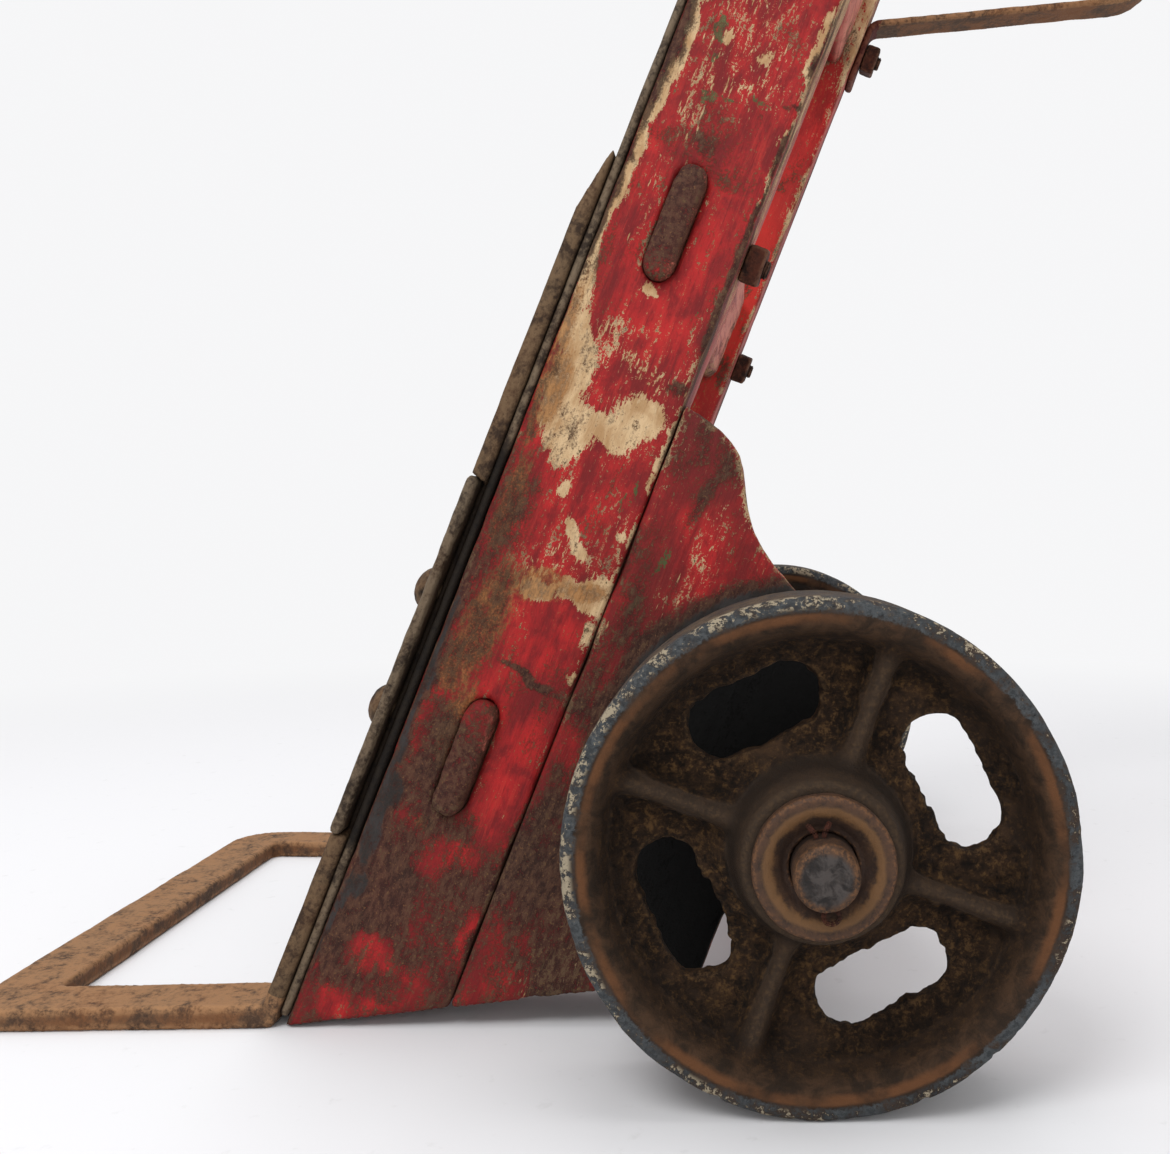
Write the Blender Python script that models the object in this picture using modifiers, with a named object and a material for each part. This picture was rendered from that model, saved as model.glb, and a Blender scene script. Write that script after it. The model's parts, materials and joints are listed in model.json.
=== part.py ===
"""An old wooden hand truck with cast-iron wheels, modelled in metres with +Z up and its nose towards -Y.

It stands on its toe iron and its two wheels. Two wooden rails lean back and are joined by through-tenoned
crossbars. Iron straps cover the rails' front faces. A toe iron, forged from one flat bar, lies on the floor
as the nose and runs up the rails, where a cross plate ties it together. A wooden axle block behind each rail
carries the fixed axle, and a bent leg iron further up lets the truck lie on its back.

Most pieces are placed in the rail frame: its origin is the bottom front corner of the rails, its Y points
to the rails' backs and its Z runs up along them.
"""

import math

import bmesh
import bpy
from mathutils import Matrix, Vector

# Driving dimensions.
GAP = 0.0003  # left between any two pieces that touch
WHEEL_RADIUS = 0.1016
LEAN = math.radians(21.4)  # of the rails, back from upright
AXLE_BEHIND_TIP = 0.2406  # from the rails' bottom front corner back to the axle
TIP_HEIGHT = 0.0006  # of the rails' bottom front corner above the floor
SIDES = {"left": 1, "right": -1}

# Rails.
RAIL_OUTER = 0.161  # from the middle plane to a rail's outer face
RAIL_WIDTH = 0.048
RAIL_DEPTH = 0.067
RAIL_INNER = RAIL_OUTER - RAIL_WIDTH
RAIL_MIDDLE = RAIL_OUTER - RAIL_WIDTH / 2
RAIL_STRAIGHT = 1.0  # length of the straight stretch
RAIL_CORNER = 0.0015
FOOT_SLOPE = LEAN + math.radians(6.4)  # of the sawn bottom, from square
HANDLE_RADIUS = 0.42  # of the backward bend
HANDLE_BEND = math.radians(24)
HANDLE_STEPS = 6
GRIP_LENGTH = 0.125
GRIP_DEPTH = 0.042
GRIP_WIDTH = 0.038
GRIP_SHAPE = ((0.3, 0.90), (0.65, 0.96), (0.9, 0.98), (0.98, 0.85), (1.0, 0.62))  # shares of its length and depth
GRIP_CORNER = 0.46  # share of its width

# Crossbars.
CROSSBARS = (0.146, 0.409, 0.640, 0.940)  # up along the rails
CROSSBAR_HEIGHT = 0.062
CROSSBAR_DEPTH = 0.052
CROSSBAR_EDGE = 0.004  # its rounding
TENON_HEIGHT = 0.056
TENON_DEPTH = 0.0147
TENON_PROUD = 0.007
TENON_MIDDLE = 0.0325  # behind the rails' fronts
TENON_EDGE = 0.002

# Ironwork on the rails' fronts.
STRAP_THICK = 0.0043
STRAP_WIDTH = 0.047
STRAP_BOTTOM = 0.004
STRAP_TOP = 0.985
IRON_EDGE = 0.0008  # rounding of the flat bars' edges
BAR_THICK = 0.008
BAR_WIDTH = 0.032
BAR_BACK = -(STRAP_THICK + 2 * GAP)  # rail frame
BAR_FRONT = BAR_BACK - BAR_THICK
BAR_TOP = 0.4308
BAR_TAPER = 0.4006
BAR_TIP_THICK = 0.0024
NOSE_THICK = 0.0105
NOSE_OUTER = 0.1615
NOSE_FRONT = -0.3896  # ahead of the axle
NOSE_SPREAD = 0.005  # how much further out each side of the nose is at its front than at the rails
NOSE_CORNERS = {"left": 0.018, "right": 0.03}
NOSE_INNER_CORNER = 0.004
NOSE_HEEL = -0.2606  # where the flat part ends, ahead of the axle
PLATE_BOTTOM = 0.0912
PLATE_TOP = 0.2674
PLATE_THICK = 0.0054
PLATE_PROUD = 0.001
PLATE_OVERHANG = 0.001
PLATE_EDGE = 0.0012
TANG_INSET = 0.009  # of the toe iron behind the plate's ends
TANG_LIP = 0.001  # left whole above and below the inset

# Axle blocks. The points of each outline run up its back, in the rail frame.
BLOCK_BACK = 0.169  # of the foot below the axle
BLOCK_FOOT_TOP = 0.122
BLOCK_REAR = 0.208  # the flat face behind the axle
BLOCK_REAR_ENDS = (0.140, 0.218)
BLOCK_WAIST = (0.143, 0.2736)
BLOCK_LOBE = (0.106, 0.310)
BLOCK_CREST = (0.068, 0.3332)
BLOCK_EDGE = 0.001

# Axle and wheels.
AXLE_RADIUS = 0.0127
AXLE_END = 0.279
WHEEL_MIDDLE = 0.223
WHEEL_HALF = 0.028
HUB_HALF = 0.034
HUB_RADIUS = 0.0325
HUB_SHOULDER = (0.0365, 0.018)  # radius and height of the hub's widening foot
HUB_FOOT_RADIUS = 0.043  # at the web
WEB_HALF = 0.004
BORE_RADIUS = AXLE_RADIUS + GAP
SPOKE_ANGLES = (70.4, 160.4, 250.4, 340.4)
SPOKE_START = 0.030
SPOKE_LENGTH = 0.062
SPOKE_RADII = (0.0064, 0.0058)  # at the hub and at the rim
SPOKE_STRETCH = 2.6  # along the axle
SLOT_ANGLES = (25.4, 115.4, 205.4, 295.4)
SLOT_CENTRE = 0.060
SLOT_LENGTH = 0.059
SLOT_WIDTH = 0.026
WASHER_RADIUS = 0.0275
WASHER_FRONT = 0.264
COLLAR_RADIUS = 0.022
COTTER_WIRE = 0.0011
COTTER_X = 0.2667
COTTER_TILT = math.radians(8)
COTTER_EYE = 0.003  # radius of its wire's middle

# Leg irons.
LEG_WIDTH = 0.025
LEG_THICK = 0.0045
LEG_REACH = 0.17605  # from the rail's back face to the middle of the foot's thickness
LEG_ENDS = (0.610, 0.961)
LEG_KNEES = (0.6526, 0.9184)
LEG_FOOT = (0.7407, 0.830)
LEG_KNEE_RADIUS = 0.009
LEG_FOOT_RADIUS = 0.03775

# Fasteners.
BOLT_RADIUS = 0.0047
BOLT_HEAD = ((0, 0.0070), (0.0056, 0.0058), (0.0092, 0.0030), (0.0105, GAP))  # (radius, height) over its dome
NUT_SIDE = 0.0185
NUT_THICK = 0.0095
NUT_TURN = math.radians(12)
BOLT_END = 0.003  # standing out of its nut
PLATE_BOLTS = {"low": 0.1514, "high": 0.2104}
PLATE_BOLTS_OUT = 0.009  # outside the rails' middle line
BAR_BOLTS = {"left": 0.4094, "right": 0.3970}
BAR_BOLTS_SUNK = 0.0004
LEG_BOLTS = {"low": 0.632, "high": 0.940}

# An outline's own x, y and thickness become Y, Z and X.
SIDE_ON = (math.pi / 2, 0, math.pi / 2)
# A turned piece's own Z points to the rails' fronts.
TO_FRONT = (math.pi / 2, 0, 0)


# --- Setting up ---


def clear_scene():
    for obj in list(bpy.data.objects):
        bpy.data.objects.remove(obj, do_unlink=True)


def new_collection(name):
    collection = bpy.data.collections.new(name)
    bpy.context.scene.collection.children.link(collection)
    return collection


def new_material(name, colour, roughness, metallic):
    material = bpy.data.materials.new(name)
    material.use_nodes = True
    shader = material.node_tree.nodes["Principled BSDF"]
    shader.inputs["Base Color"].default_value = (*colour, 1)
    shader.inputs["Roughness"].default_value = roughness
    shader.inputs["Metallic"].default_value = metallic
    return material


def new_empty(name, parent=None, location=(0, 0, 0), rotation=(0, 0, 0)):
    empty = bpy.data.objects.new(name, None)
    PARTS.objects.link(empty)
    empty.parent = parent
    empty.location = location
    empty.rotation_euler = rotation
    return empty


def place(obj, parent, location=(0, 0, 0), rotation=(0, 0, 0), material=None):
    """Puts an object under its parent. One without a material is a cutter or a piece to be joined."""
    (PARTS if material else CUTTERS).objects.link(obj)
    obj.parent = parent
    obj.location = location
    obj.rotation_euler = rotation
    if material:
        obj.data.materials.append(material)
    else:
        obj.hide_render = True
        obj.display_type = "WIRE"
    return obj


def mesh_object(name, work):
    mesh = bpy.data.meshes.new(name)
    work.to_mesh(mesh)
    work.free()
    return bpy.data.objects.new(name, mesh)


def smooth(obj):
    obj.data.shade_smooth()
    obj.data.set_sharp_from_angle(angle=math.radians(35))


def bevel(obj, width, segments=1):
    modifier = obj.modifiers.new("Rounded edges", "BEVEL")
    modifier.width = width
    modifier.segments = segments
    modifier.limit_method = "ANGLE"
    modifier.angle_limit = math.radians(40)


def combine(obj, other, operation):
    modifier = obj.modifiers.new(operation.title(), "BOOLEAN")
    modifier.operation = operation
    modifier.object = other
    modifier.solver = "EXACT"


# --- Shapes ---


def arc(centre, radius, start, end, steps):
    """Points on an arc from one angle to the other, in degrees."""
    points = []
    for step in range(steps + 1):
        angle = math.radians(start + (end - start) * step / steps)
        points.append((centre[0] + radius * math.cos(angle), centre[1] + radius * math.sin(angle)))
    return points


def bezier(start, pull, push, end, steps):
    """Points on a cubic curve, without its first one."""
    points = []
    for step in range(1, steps + 1):
        t = step / steps
        weights = ((1 - t) ** 3, 3 * t * (1 - t) ** 2, 3 * t * t * (1 - t), t**3)
        corners = (start, pull, push, end)
        points.append(tuple(sum(w * c[axis] for w, c in zip(weights, corners)) for axis in (0, 1)))
    return points


def obround(length, width, steps):
    """The outline of a slot, long along its own y."""
    reach = (length - width) / 2
    return arc((0, reach), width / 2, 0, 180, steps) + arc((0, -reach), width / 2, 180, 360, steps)


def flat_piece(name, outline, thickness):
    """A mesh object: the outline in its own XY plane, with the thickness along its own Z."""
    curve = bpy.data.curves.new(name + "_outline", "CURVE")
    curve.dimensions = "2D"
    curve.fill_mode = "BOTH"
    curve.extrude = thickness / 2
    spline = curve.splines.new("POLY")
    spline.points.add(len(outline) - 1)
    for point, (x, y) in zip(spline.points, outline):
        point.co = (x, y, 0, 1)
    spline.use_cyclic_u = True
    return curve_to_mesh(name, curve)


def curve_to_mesh(name, curve):
    """The curve's shape as a mesh object, with its loose caps welded on."""
    guide = bpy.data.objects.new(name + "_guide", curve)
    bpy.context.scene.collection.objects.link(guide)
    graph = bpy.context.evaluated_depsgraph_get()
    mesh = bpy.data.meshes.new_from_object(guide.evaluated_get(graph))
    bpy.data.objects.remove(guide, do_unlink=True)
    work = bmesh.new()
    work.from_mesh(mesh)
    bmesh.ops.remove_doubles(work, verts=work.verts, dist=1e-6)
    bmesh.ops.dissolve_limit(work, angle_limit=math.radians(0.5), verts=work.verts, edges=work.edges)
    return mesh_object(name, work)


def wire(name, route, radius):
    """A mesh object: round wire along a route of points, with 8 sides."""
    curve = bpy.data.curves.new(name + "_route", "CURVE")
    curve.dimensions = "3D"
    curve.bevel_depth = radius
    curve.bevel_resolution = 2
    curve.use_fill_caps = True
    spline = curve.splines.new("POLY")
    spline.points.add(len(route) - 1)
    for point, position in zip(spline.points, route):
        point.co = (*position, 1)
    return curve_to_mesh(name, curve)


def block(name, size):
    work = bmesh.new()
    bmesh.ops.create_cube(work, size=1)
    bmesh.ops.scale(work, vec=size, verts=work.verts)
    return mesh_object(name, work)


def cylinder(name, radius, length, segments=12):
    work = bmesh.new()
    bmesh.ops.create_cone(work, cap_ends=True, segments=segments, radius1=radius, radius2=radius, depth=length)
    return mesh_object(name, work)


def turned(name, profile, steps):
    """A turned shape about its own Z. The profile's (radius, height) points run down its outer side. One
    that starts off the axis is closed into a ring."""
    work = bmesh.new()
    points = [work.verts.new((radius, 0, height)) for radius, height in profile]
    pairs = list(zip(points, points[1:]))
    if profile[0][0] > 0:
        pairs.append((points[-1], points[0]))
    for pair in pairs:
        work.edges.new(pair)
    obj = mesh_object(name, work)
    screw = obj.modifiers.new("Turned", "SCREW")
    screw.axis = "Z"
    screw.angle = 2 * math.pi
    screw.steps = steps
    screw.render_steps = steps
    screw.use_smooth_shade = False
    screw.use_merge_vertices = True
    screw.merge_threshold = 1e-5
    return obj


def bent_bar(route, radii, thickness):
    """The outline of a flat bar seen on edge: a route of corners, each bent to its radius."""
    centre = [Vector(route[0])]
    for before, corner, after, radius in zip(route, route[1:], route[2:], radii):
        corner = Vector(corner)
        arriving = (corner - Vector(before)).normalized()
        leaving = (Vector(after) - corner).normalized()
        turn = arriving.angle_signed(leaving)
        back = radius * math.tan(abs(turn) / 2)
        steps = max(2, round(abs(math.degrees(turn)) / 12))
        start = corner - arriving * back
        side = Vector((arriving.y, -arriving.x)) * math.copysign(1, turn)
        middle = start + side * radius
        for step in range(steps + 1):
            turned_by = Matrix.Rotation(-turn * step / steps, 2)
            centre.append(middle - turned_by @ side * radius)
    centre.append(Vector(route[-1]))
    sides = ([], [])
    for index, point in enumerate(centre):
        arriving = (point - centre[max(index - 1, 0)]).normalized()
        leaving = (centre[min(index + 1, len(centre) - 1)] - point).normalized()
        along = (arriving + leaving).normalized()
        stretch = thickness / 2 / max(along.dot(leaving), along.dot(arriving))
        across = Vector((-along.y, along.x)) * stretch
        sides[0].append(tuple(point + across))
        sides[1].append(tuple(point - across))
    return sides[0] + sides[1][::-1]


# --- Frames ---


def from_rail(y, z):
    """A point of the rail frame, in the truck's frame, whose origin is on the floor below the axle."""
    return (
        -AXLE_BEHIND_TIP + y * math.cos(LEAN) + z * math.sin(LEAN),
        TIP_HEIGHT - y * math.sin(LEAN) + z * math.cos(LEAN),
    )


def floor_meets(y, height):
    """How far up the rail frame the line at this depth crosses a height above the floor."""
    return (height - TIP_HEIGHT + y * math.sin(LEAN)) / math.cos(LEAN)


# --- Wooden frame ---


def rail_sections():
    """(y, z, tilt, depth, width, corner radius) of each section of a rail, from the straight's top up."""
    yield RAIL_DEPTH / 2, RAIL_STRAIGHT, 0, RAIL_DEPTH, RAIL_WIDTH, RAIL_CORNER
    for step in range(1, HANDLE_STEPS + 1):
        share = step / HANDLE_STEPS
        tilt = HANDLE_BEND * share
        depth = RAIL_DEPTH + (GRIP_DEPTH - RAIL_DEPTH) * share
        width = RAIL_WIDTH + (GRIP_WIDTH - RAIL_WIDTH) * share
        corner = RAIL_CORNER + (GRIP_CORNER * GRIP_WIDTH - RAIL_CORNER) * share
        y = RAIL_DEPTH / 2 + HANDLE_RADIUS * (1 - math.cos(tilt))
        z = RAIL_STRAIGHT + HANDLE_RADIUS * math.sin(tilt)
        yield y, z, tilt, depth, width, corner
    for share, scale in GRIP_SHAPE:
        reach = GRIP_LENGTH * share
        depth = GRIP_DEPTH * scale
        width = min(depth, GRIP_WIDTH * scale)
        yield (
            y + reach * math.sin(HANDLE_BEND),
            z + reach * math.cos(HANDLE_BEND),
            HANDLE_BEND,
            depth,
            width,
            GRIP_CORNER * width,
        )


def section_ring(depth, width, corner):
    """Points round a section as (across the truck, from front to back), counter-clockwise."""
    ring = []
    for across, back, start in ((1, 1, 0), (-1, 1, 90), (-1, -1, 180), (1, -1, 270)):
        centre = (across * (width / 2 - corner), back * (depth / 2 - corner))
        ring += arc(centre, corner, start, start + 90, 2)
    return ring


def make_rail(side, sign):
    work = bmesh.new()
    straight = section_ring(RAIL_DEPTH, RAIL_WIDTH, RAIL_CORNER)
    rings = []
    foot = [(x, e + RAIL_DEPTH / 2, (e + RAIL_DEPTH / 2) * math.tan(FOOT_SLOPE)) for x, e in straight]
    rings.append([work.verts.new(point) for point in foot])
    for y, z, tilt, depth, width, corner in rail_sections():
        ring = []
        for x, e in section_ring(depth, width, corner):
            ring.append(work.verts.new((x, y + e * math.cos(tilt), z - e * math.sin(tilt))))
        rings.append(ring)
    for lower, upper in zip(rings, rings[1:]):
        count = len(lower)
        for index in range(count):
            after = (index + 1) % count
            work.faces.new((lower[index], lower[after], upper[after], upper[index]))
    work.faces.new(rings[0][::-1])
    work.faces.new(rings[-1])
    rail = mesh_object(f"rail_{side}", work)
    place(rail, RAIL_FRAME, (sign * RAIL_MIDDLE, 0, 0), material=RED_PAINT)
    smooth(rail)
    return rail


def make_crossbar(number, height, rails):
    name = f"crossbar_{number}"
    inside = 2 * (RAIL_INNER - GAP)
    bar = block(name, (inside, CROSSBAR_DEPTH, CROSSBAR_HEIGHT))
    place(bar, RAIL_FRAME, (0, TENON_MIDDLE, height), material=RED_PAINT)
    bevel(bar, CROSSBAR_EDGE)
    reach = 2 * (RAIL_OUTER + TENON_PROUD)
    tenon = flat_piece(name + "_tenon", obround(TENON_HEIGHT, TENON_DEPTH, 6), reach)
    bevel(tenon, TENON_EDGE)
    place(tenon, RAIL_FRAME, (0, TENON_MIDDLE, height), SIDE_ON)
    combine(bar, tenon, "UNION")
    mortise = flat_piece(
        name + "_mortise", obround(TENON_HEIGHT + 2 * GAP, TENON_DEPTH + 2 * GAP, 6), reach + 0.02
    )
    place(mortise, RAIL_FRAME, (0, TENON_MIDDLE, height), SIDE_ON)
    for rail in rails:
        combine(rail, mortise, "DIFFERENCE")
    return bar


def block_outline():
    """The axle block from the side, in the rail frame."""
    front = RAIL_DEPTH + GAP
    slope = math.tan(FOOT_SLOPE)
    rear_low, rear_high = BLOCK_REAR_ENDS
    outline = [(front, front * slope), (BLOCK_BACK, BLOCK_BACK * slope), (BLOCK_BACK, BLOCK_FOOT_TOP)]
    outline += bezier(outline[-1], (BLOCK_BACK, 0.135), (BLOCK_REAR, 0.128), (BLOCK_REAR, rear_low), 5)
    outline += [(BLOCK_REAR, rear_high)]
    outline += bezier(outline[-1], (BLOCK_REAR, 0.250), (0.165, 0.262), BLOCK_WAIST, 6)
    outline += bezier(outline[-1], (0.119, 0.285), (0.112, 0.296), BLOCK_LOBE, 6)
    outline += bezier(outline[-1], (0.101, 0.323), (0.090, 0.330), BLOCK_CREST, 6)
    return outline + [(front, BLOCK_CREST[1])]


def make_axle_block(side, sign):
    piece = flat_piece(f"axle_block_{side}", block_outline(), RAIL_WIDTH)
    place(piece, RAIL_FRAME, (sign * RAIL_MIDDLE, 0, 0), SIDE_ON, RED_PAINT)
    bevel(piece, BLOCK_EDGE)
    combine(piece, AXLE_HOLE, "DIFFERENCE")
    return piece


# --- Ironwork ---


def make_strap(side, sign):
    strap = block(f"front_strap_{side}", (STRAP_WIDTH, STRAP_THICK, STRAP_TOP - STRAP_BOTTOM))
    middle = (sign * RAIL_MIDDLE, -GAP - STRAP_THICK / 2, (STRAP_TOP + STRAP_BOTTOM) / 2)
    place(strap, RAIL_FRAME, middle, material=WORN_IRON)
    bevel(strap, IRON_EDGE)
    return strap


def nose_outline():
    """The toe iron's part on the floor from above: a U that is open at the rails and spreads to its front."""
    inner = NOSE_OUTER - BAR_WIDTH
    front = NOSE_FRONT + BAR_WIDTH
    outer = NOSE_OUTER + NOSE_SPREAD
    window = inner + NOSE_SPREAD - NOSE_INNER_CORNER
    left, right = NOSE_CORNERS["left"], NOSE_CORNERS["right"]
    outline = [(NOSE_OUTER, NOSE_HEEL), (inner, NOSE_HEEL)]
    outline += arc((window, front + NOSE_INNER_CORNER), NOSE_INNER_CORNER, 0, -90, 3)
    outline += arc((-window, front + NOSE_INNER_CORNER), NOSE_INNER_CORNER, -90, -180, 3)
    outline += [(-inner, NOSE_HEEL), (-NOSE_OUTER, NOSE_HEEL)]
    outline += arc((right - outer, NOSE_FRONT + right), right, 180, 270, 6)
    return outline + arc((outer - left, NOSE_FRONT + left), left, 270, 360, 6)


def make_toe_iron():
    """The U is drawn as far as the heel. Each end face then turns the corner and runs up its rail."""
    toe = flat_piece("toe_iron", nose_outline(), NOSE_THICK)
    work = bmesh.new()
    work.from_mesh(toe.data)
    bmesh.ops.translate(work, vec=(0, 0, NOSE_THICK / 2), verts=work.verts)
    ends = [face for face in work.faces if abs(face.calc_center_median().y - NOSE_HEEL) < GAP]
    heel = ((BAR_BACK, floor_meets(BAR_BACK, 0)), (BAR_FRONT, floor_meets(BAR_FRONT, NOSE_THICK)))
    shoulder = ((BAR_BACK, BAR_TAPER), (BAR_FRONT, BAR_TAPER))
    tip = ((BAR_BACK, BAR_TOP), (BAR_BACK - BAR_TIP_THICK, BAR_TOP))
    for end in ends:
        low = [vert for vert in end.verts if vert.co.z < NOSE_THICK / 2]
        high = [vert for vert in end.verts if vert.co.z > NOSE_THICK / 2]
        move_pair(low, high, heel)
        for stage in (shoulder, tip):
            made = bmesh.ops.extrude_discrete_faces(work, faces=[end])["faces"][0]
            low = sorted(made.verts, key=lambda vert: vert.co.y - vert.co.z)[2:]
            high = [vert for vert in made.verts if vert not in low]
            move_pair(low, high, stage)
            end = made
    bmesh.ops.recalc_face_normals(work, faces=work.faces)
    work.to_mesh(toe.data)
    work.free()
    place(toe, TRUCK_FRAME, material=FORGED_IRON)
    bevel(toe, IRON_EDGE)
    recess_low, recess_high = PLATE_BOTTOM - GAP, PLATE_TOP + GAP
    middle = (recess_low + recess_high) / 2
    recess = block("plate_recess", (0.4, 0.02, recess_high - recess_low))
    plate_back = BAR_FRONT - PLATE_PROUD + PLATE_THICK + GAP
    place(recess, RAIL_FRAME, (0, plate_back - 0.01, middle))
    combine(toe, recess, "DIFFERENCE")
    for side, sign in SIDES.items():
        notch = block(f"tang_notch_{side}", (2 * TANG_INSET, 0.04, recess_high - recess_low - 2 * TANG_LIP))
        place(notch, RAIL_FRAME, (sign * NOSE_OUTER, BAR_FRONT, middle))
        combine(toe, notch, "DIFFERENCE")
    return toe


def move_pair(low, high, stage):
    """Moves a bar's end: its lower pair of corners is the upright's back, its upper pair the front."""
    for verts, (y, z) in ((low, stage[0]), (high, stage[1])):
        for vert in verts:
            vert.co.y, vert.co.z = from_rail(y, z)


def make_cross_plate():
    width = 2 * (NOSE_OUTER + PLATE_OVERHANG)
    plate = block("cross_plate", (width, PLATE_THICK, PLATE_TOP - PLATE_BOTTOM))
    middle = (0, BAR_FRONT - PLATE_PROUD + PLATE_THICK / 2, (PLATE_TOP + PLATE_BOTTOM) / 2)
    place(plate, RAIL_FRAME, middle, material=FORGED_IRON)
    bevel(plate, PLATE_EDGE)
    return plate


def make_leg_iron(side, sign):
    back = RAIL_DEPTH + GAP + LEG_THICK / 2
    foot = RAIL_DEPTH + LEG_REACH
    route = [
        (back, LEG_ENDS[0]),
        (back, LEG_KNEES[0]),
        (foot, LEG_FOOT[0]),
        (foot, LEG_FOOT[1]),
        (back, LEG_KNEES[1]),
        (back, LEG_ENDS[1]),
    ]
    radii = (LEG_KNEE_RADIUS, LEG_FOOT_RADIUS, LEG_FOOT_RADIUS, LEG_KNEE_RADIUS)
    leg = flat_piece(f"leg_iron_{side}", bent_bar(route, radii, LEG_THICK), LEG_WIDTH)
    place(leg, RAIL_FRAME, (sign * RAIL_MIDDLE, 0, 0), SIDE_ON, FORGED_IRON)
    bevel(leg, IRON_EDGE)
    return leg


# --- Axle and wheels ---


def make_axle():
    end = [(0, AXLE_END), (0.0085, AXLE_END - 0.0004), (0.0112, AXLE_END - 0.0015), (AXLE_RADIUS, AXLE_END - 0.0035)]
    other_end = [(radius, -height) for radius, height in end[::-1]]
    axle = turned("axle", end + other_end, 24)
    place(axle, AXLE_FRAME, rotation=(0, math.pi / 2, 0), material=MACHINED_IRON)
    return axle


def wheel_profile():
    """One wheel's section as (radius, height), with the hub, the web and the crowned rim."""
    face = [
        (BORE_RADIUS, HUB_HALF),
        (HUB_RADIUS - 0.002, HUB_HALF),
        (HUB_RADIUS, HUB_HALF - 0.0025),
        HUB_SHOULDER,
        (HUB_FOOT_RADIUS, WEB_HALF),
        (0.0845, WEB_HALF),
        (0.0905, WHEEL_HALF),
        (0.0990, WHEEL_HALF),
        (WHEEL_RADIUS - 0.0003, WHEEL_HALF - 0.0025),
    ]
    return face + [(WHEEL_RADIUS, 0)] + [(radius, -height) for radius, height in face[::-1]]


def make_wheel(side, frame):
    wheel = turned(f"wheel_{side}", wheel_profile(), 40)
    place(wheel, frame, material=CAST_IRON)
    spokes = bmesh.new()
    for angle in SPOKE_ANGLES:
        middle = Matrix.Translation((SPOKE_START + SPOKE_LENGTH / 2, 0, 0))
        shape = Matrix.Rotation(math.radians(angle), 4, "Z") @ Matrix.Diagonal((1, 1, SPOKE_STRETCH, 1)) @ middle
        bmesh.ops.create_cone(
            spokes,
            cap_ends=True,
            segments=8,
            radius1=SPOKE_RADII[0],
            radius2=SPOKE_RADII[1],
            depth=SPOKE_LENGTH,
            matrix=shape @ Matrix.Rotation(math.pi / 2, 4, "Y"),
        )
    spokes = place(mesh_object(f"spokes_{side}", spokes), frame)
    combine(wheel, spokes, "UNION")
    for number, angle in enumerate(SLOT_ANGLES):
        slot = flat_piece(f"slot_{side}_{number}", obround(SLOT_LENGTH, SLOT_WIDTH, 8), 0.03)
        turn = math.radians(angle)
        place(slot, frame, (SLOT_CENTRE * math.cos(turn), SLOT_CENTRE * math.sin(turn), 0), (0, 0, turn))
        combine(wheel, slot, "DIFFERENCE")
    return wheel


def make_ring(name, radius, low, high, sign, chamfer, segments, material):
    """A washer or collar on the axle between two distances from the middle plane."""
    half = (high - low) / 2
    profile = [
        (BORE_RADIUS, half),
        (radius - chamfer, half),
        (radius, half - chamfer),
        (radius, chamfer - half),
        (radius - chamfer, -half),
        (BORE_RADIUS, -half),
    ]
    ring = turned(name, profile, segments)
    return place(ring, AXLE_FRAME, (sign * (low + high) / 2, 0, 0), (0, math.pi / 2, 0), material)


def make_cotter(side, sign, axle):
    """A split pin through the axle, its eye below and its two ends spread above."""
    leg = COTTER_WIRE + 0.0002
    eye = arc((0, -0.0168), COTTER_EYE, 115, 425, 9)
    up = [(leg, -0.0125), (leg, 0.0125), (leg + 0.0008, 0.0148), (leg + 0.0030, 0.0180)]
    flat_route = [(-across, along) for across, along in up[::-1]] + eye + up
    pin = wire(f"cotter_pin_{side}", [(0, across, along) for across, along in flat_route], COTTER_WIRE)
    tilt = (COTTER_TILT, 0, 0)
    place(pin, AXLE_FRAME, (sign * COTTER_X, 0, 0), tilt, MACHINED_IRON)
    hole = cylinder(f"cotter_hole_{side}", 2 * COTTER_WIRE + 0.0007, 0.05)
    place(hole, AXLE_FRAME, (sign * COTTER_X, 0, 0), tilt)
    combine(axle, hole, "DIFFERENCE")
    return pin


# --- Fasteners ---


def make_bolt(name, across, along, front, back, pieces, domed=True):
    """A bolt from the fronts of the rails to their backs, its square nut, and its hole through the pieces."""
    end = back + NUT_THICK + BOLT_END
    if domed:
        head = [*BOLT_HEAD, (BOLT_RADIUS, GAP)]
    else:
        head = [(0, 0), (BOLT_RADIUS, 0)]
    profile = head + [(BOLT_RADIUS, front - end + 0.001), (BOLT_RADIUS - 0.001, front - end), (0, front - end)]
    bolt = turned("bolt_" + name, profile, 12)
    place(bolt, RAIL_FRAME, (across, front, along), TO_FRONT, MACHINED_IRON)
    nut = block("nut_" + name, (NUT_SIDE, NUT_THICK, NUT_SIDE))
    bevel(nut, IRON_EDGE)
    place(nut, RAIL_FRAME, (across, back + GAP + NUT_THICK / 2, along), (0, NUT_TURN, 0), MACHINED_IRON)
    length = end - front + 0.04
    hole = cylinder(f"hole_{name}", BOLT_RADIUS + GAP, length)
    place(hole, RAIL_FRAME, (across, (front + end) / 2, along), TO_FRONT)
    for piece in [*pieces, nut]:
        combine(piece, hole, "DIFFERENCE")


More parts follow.
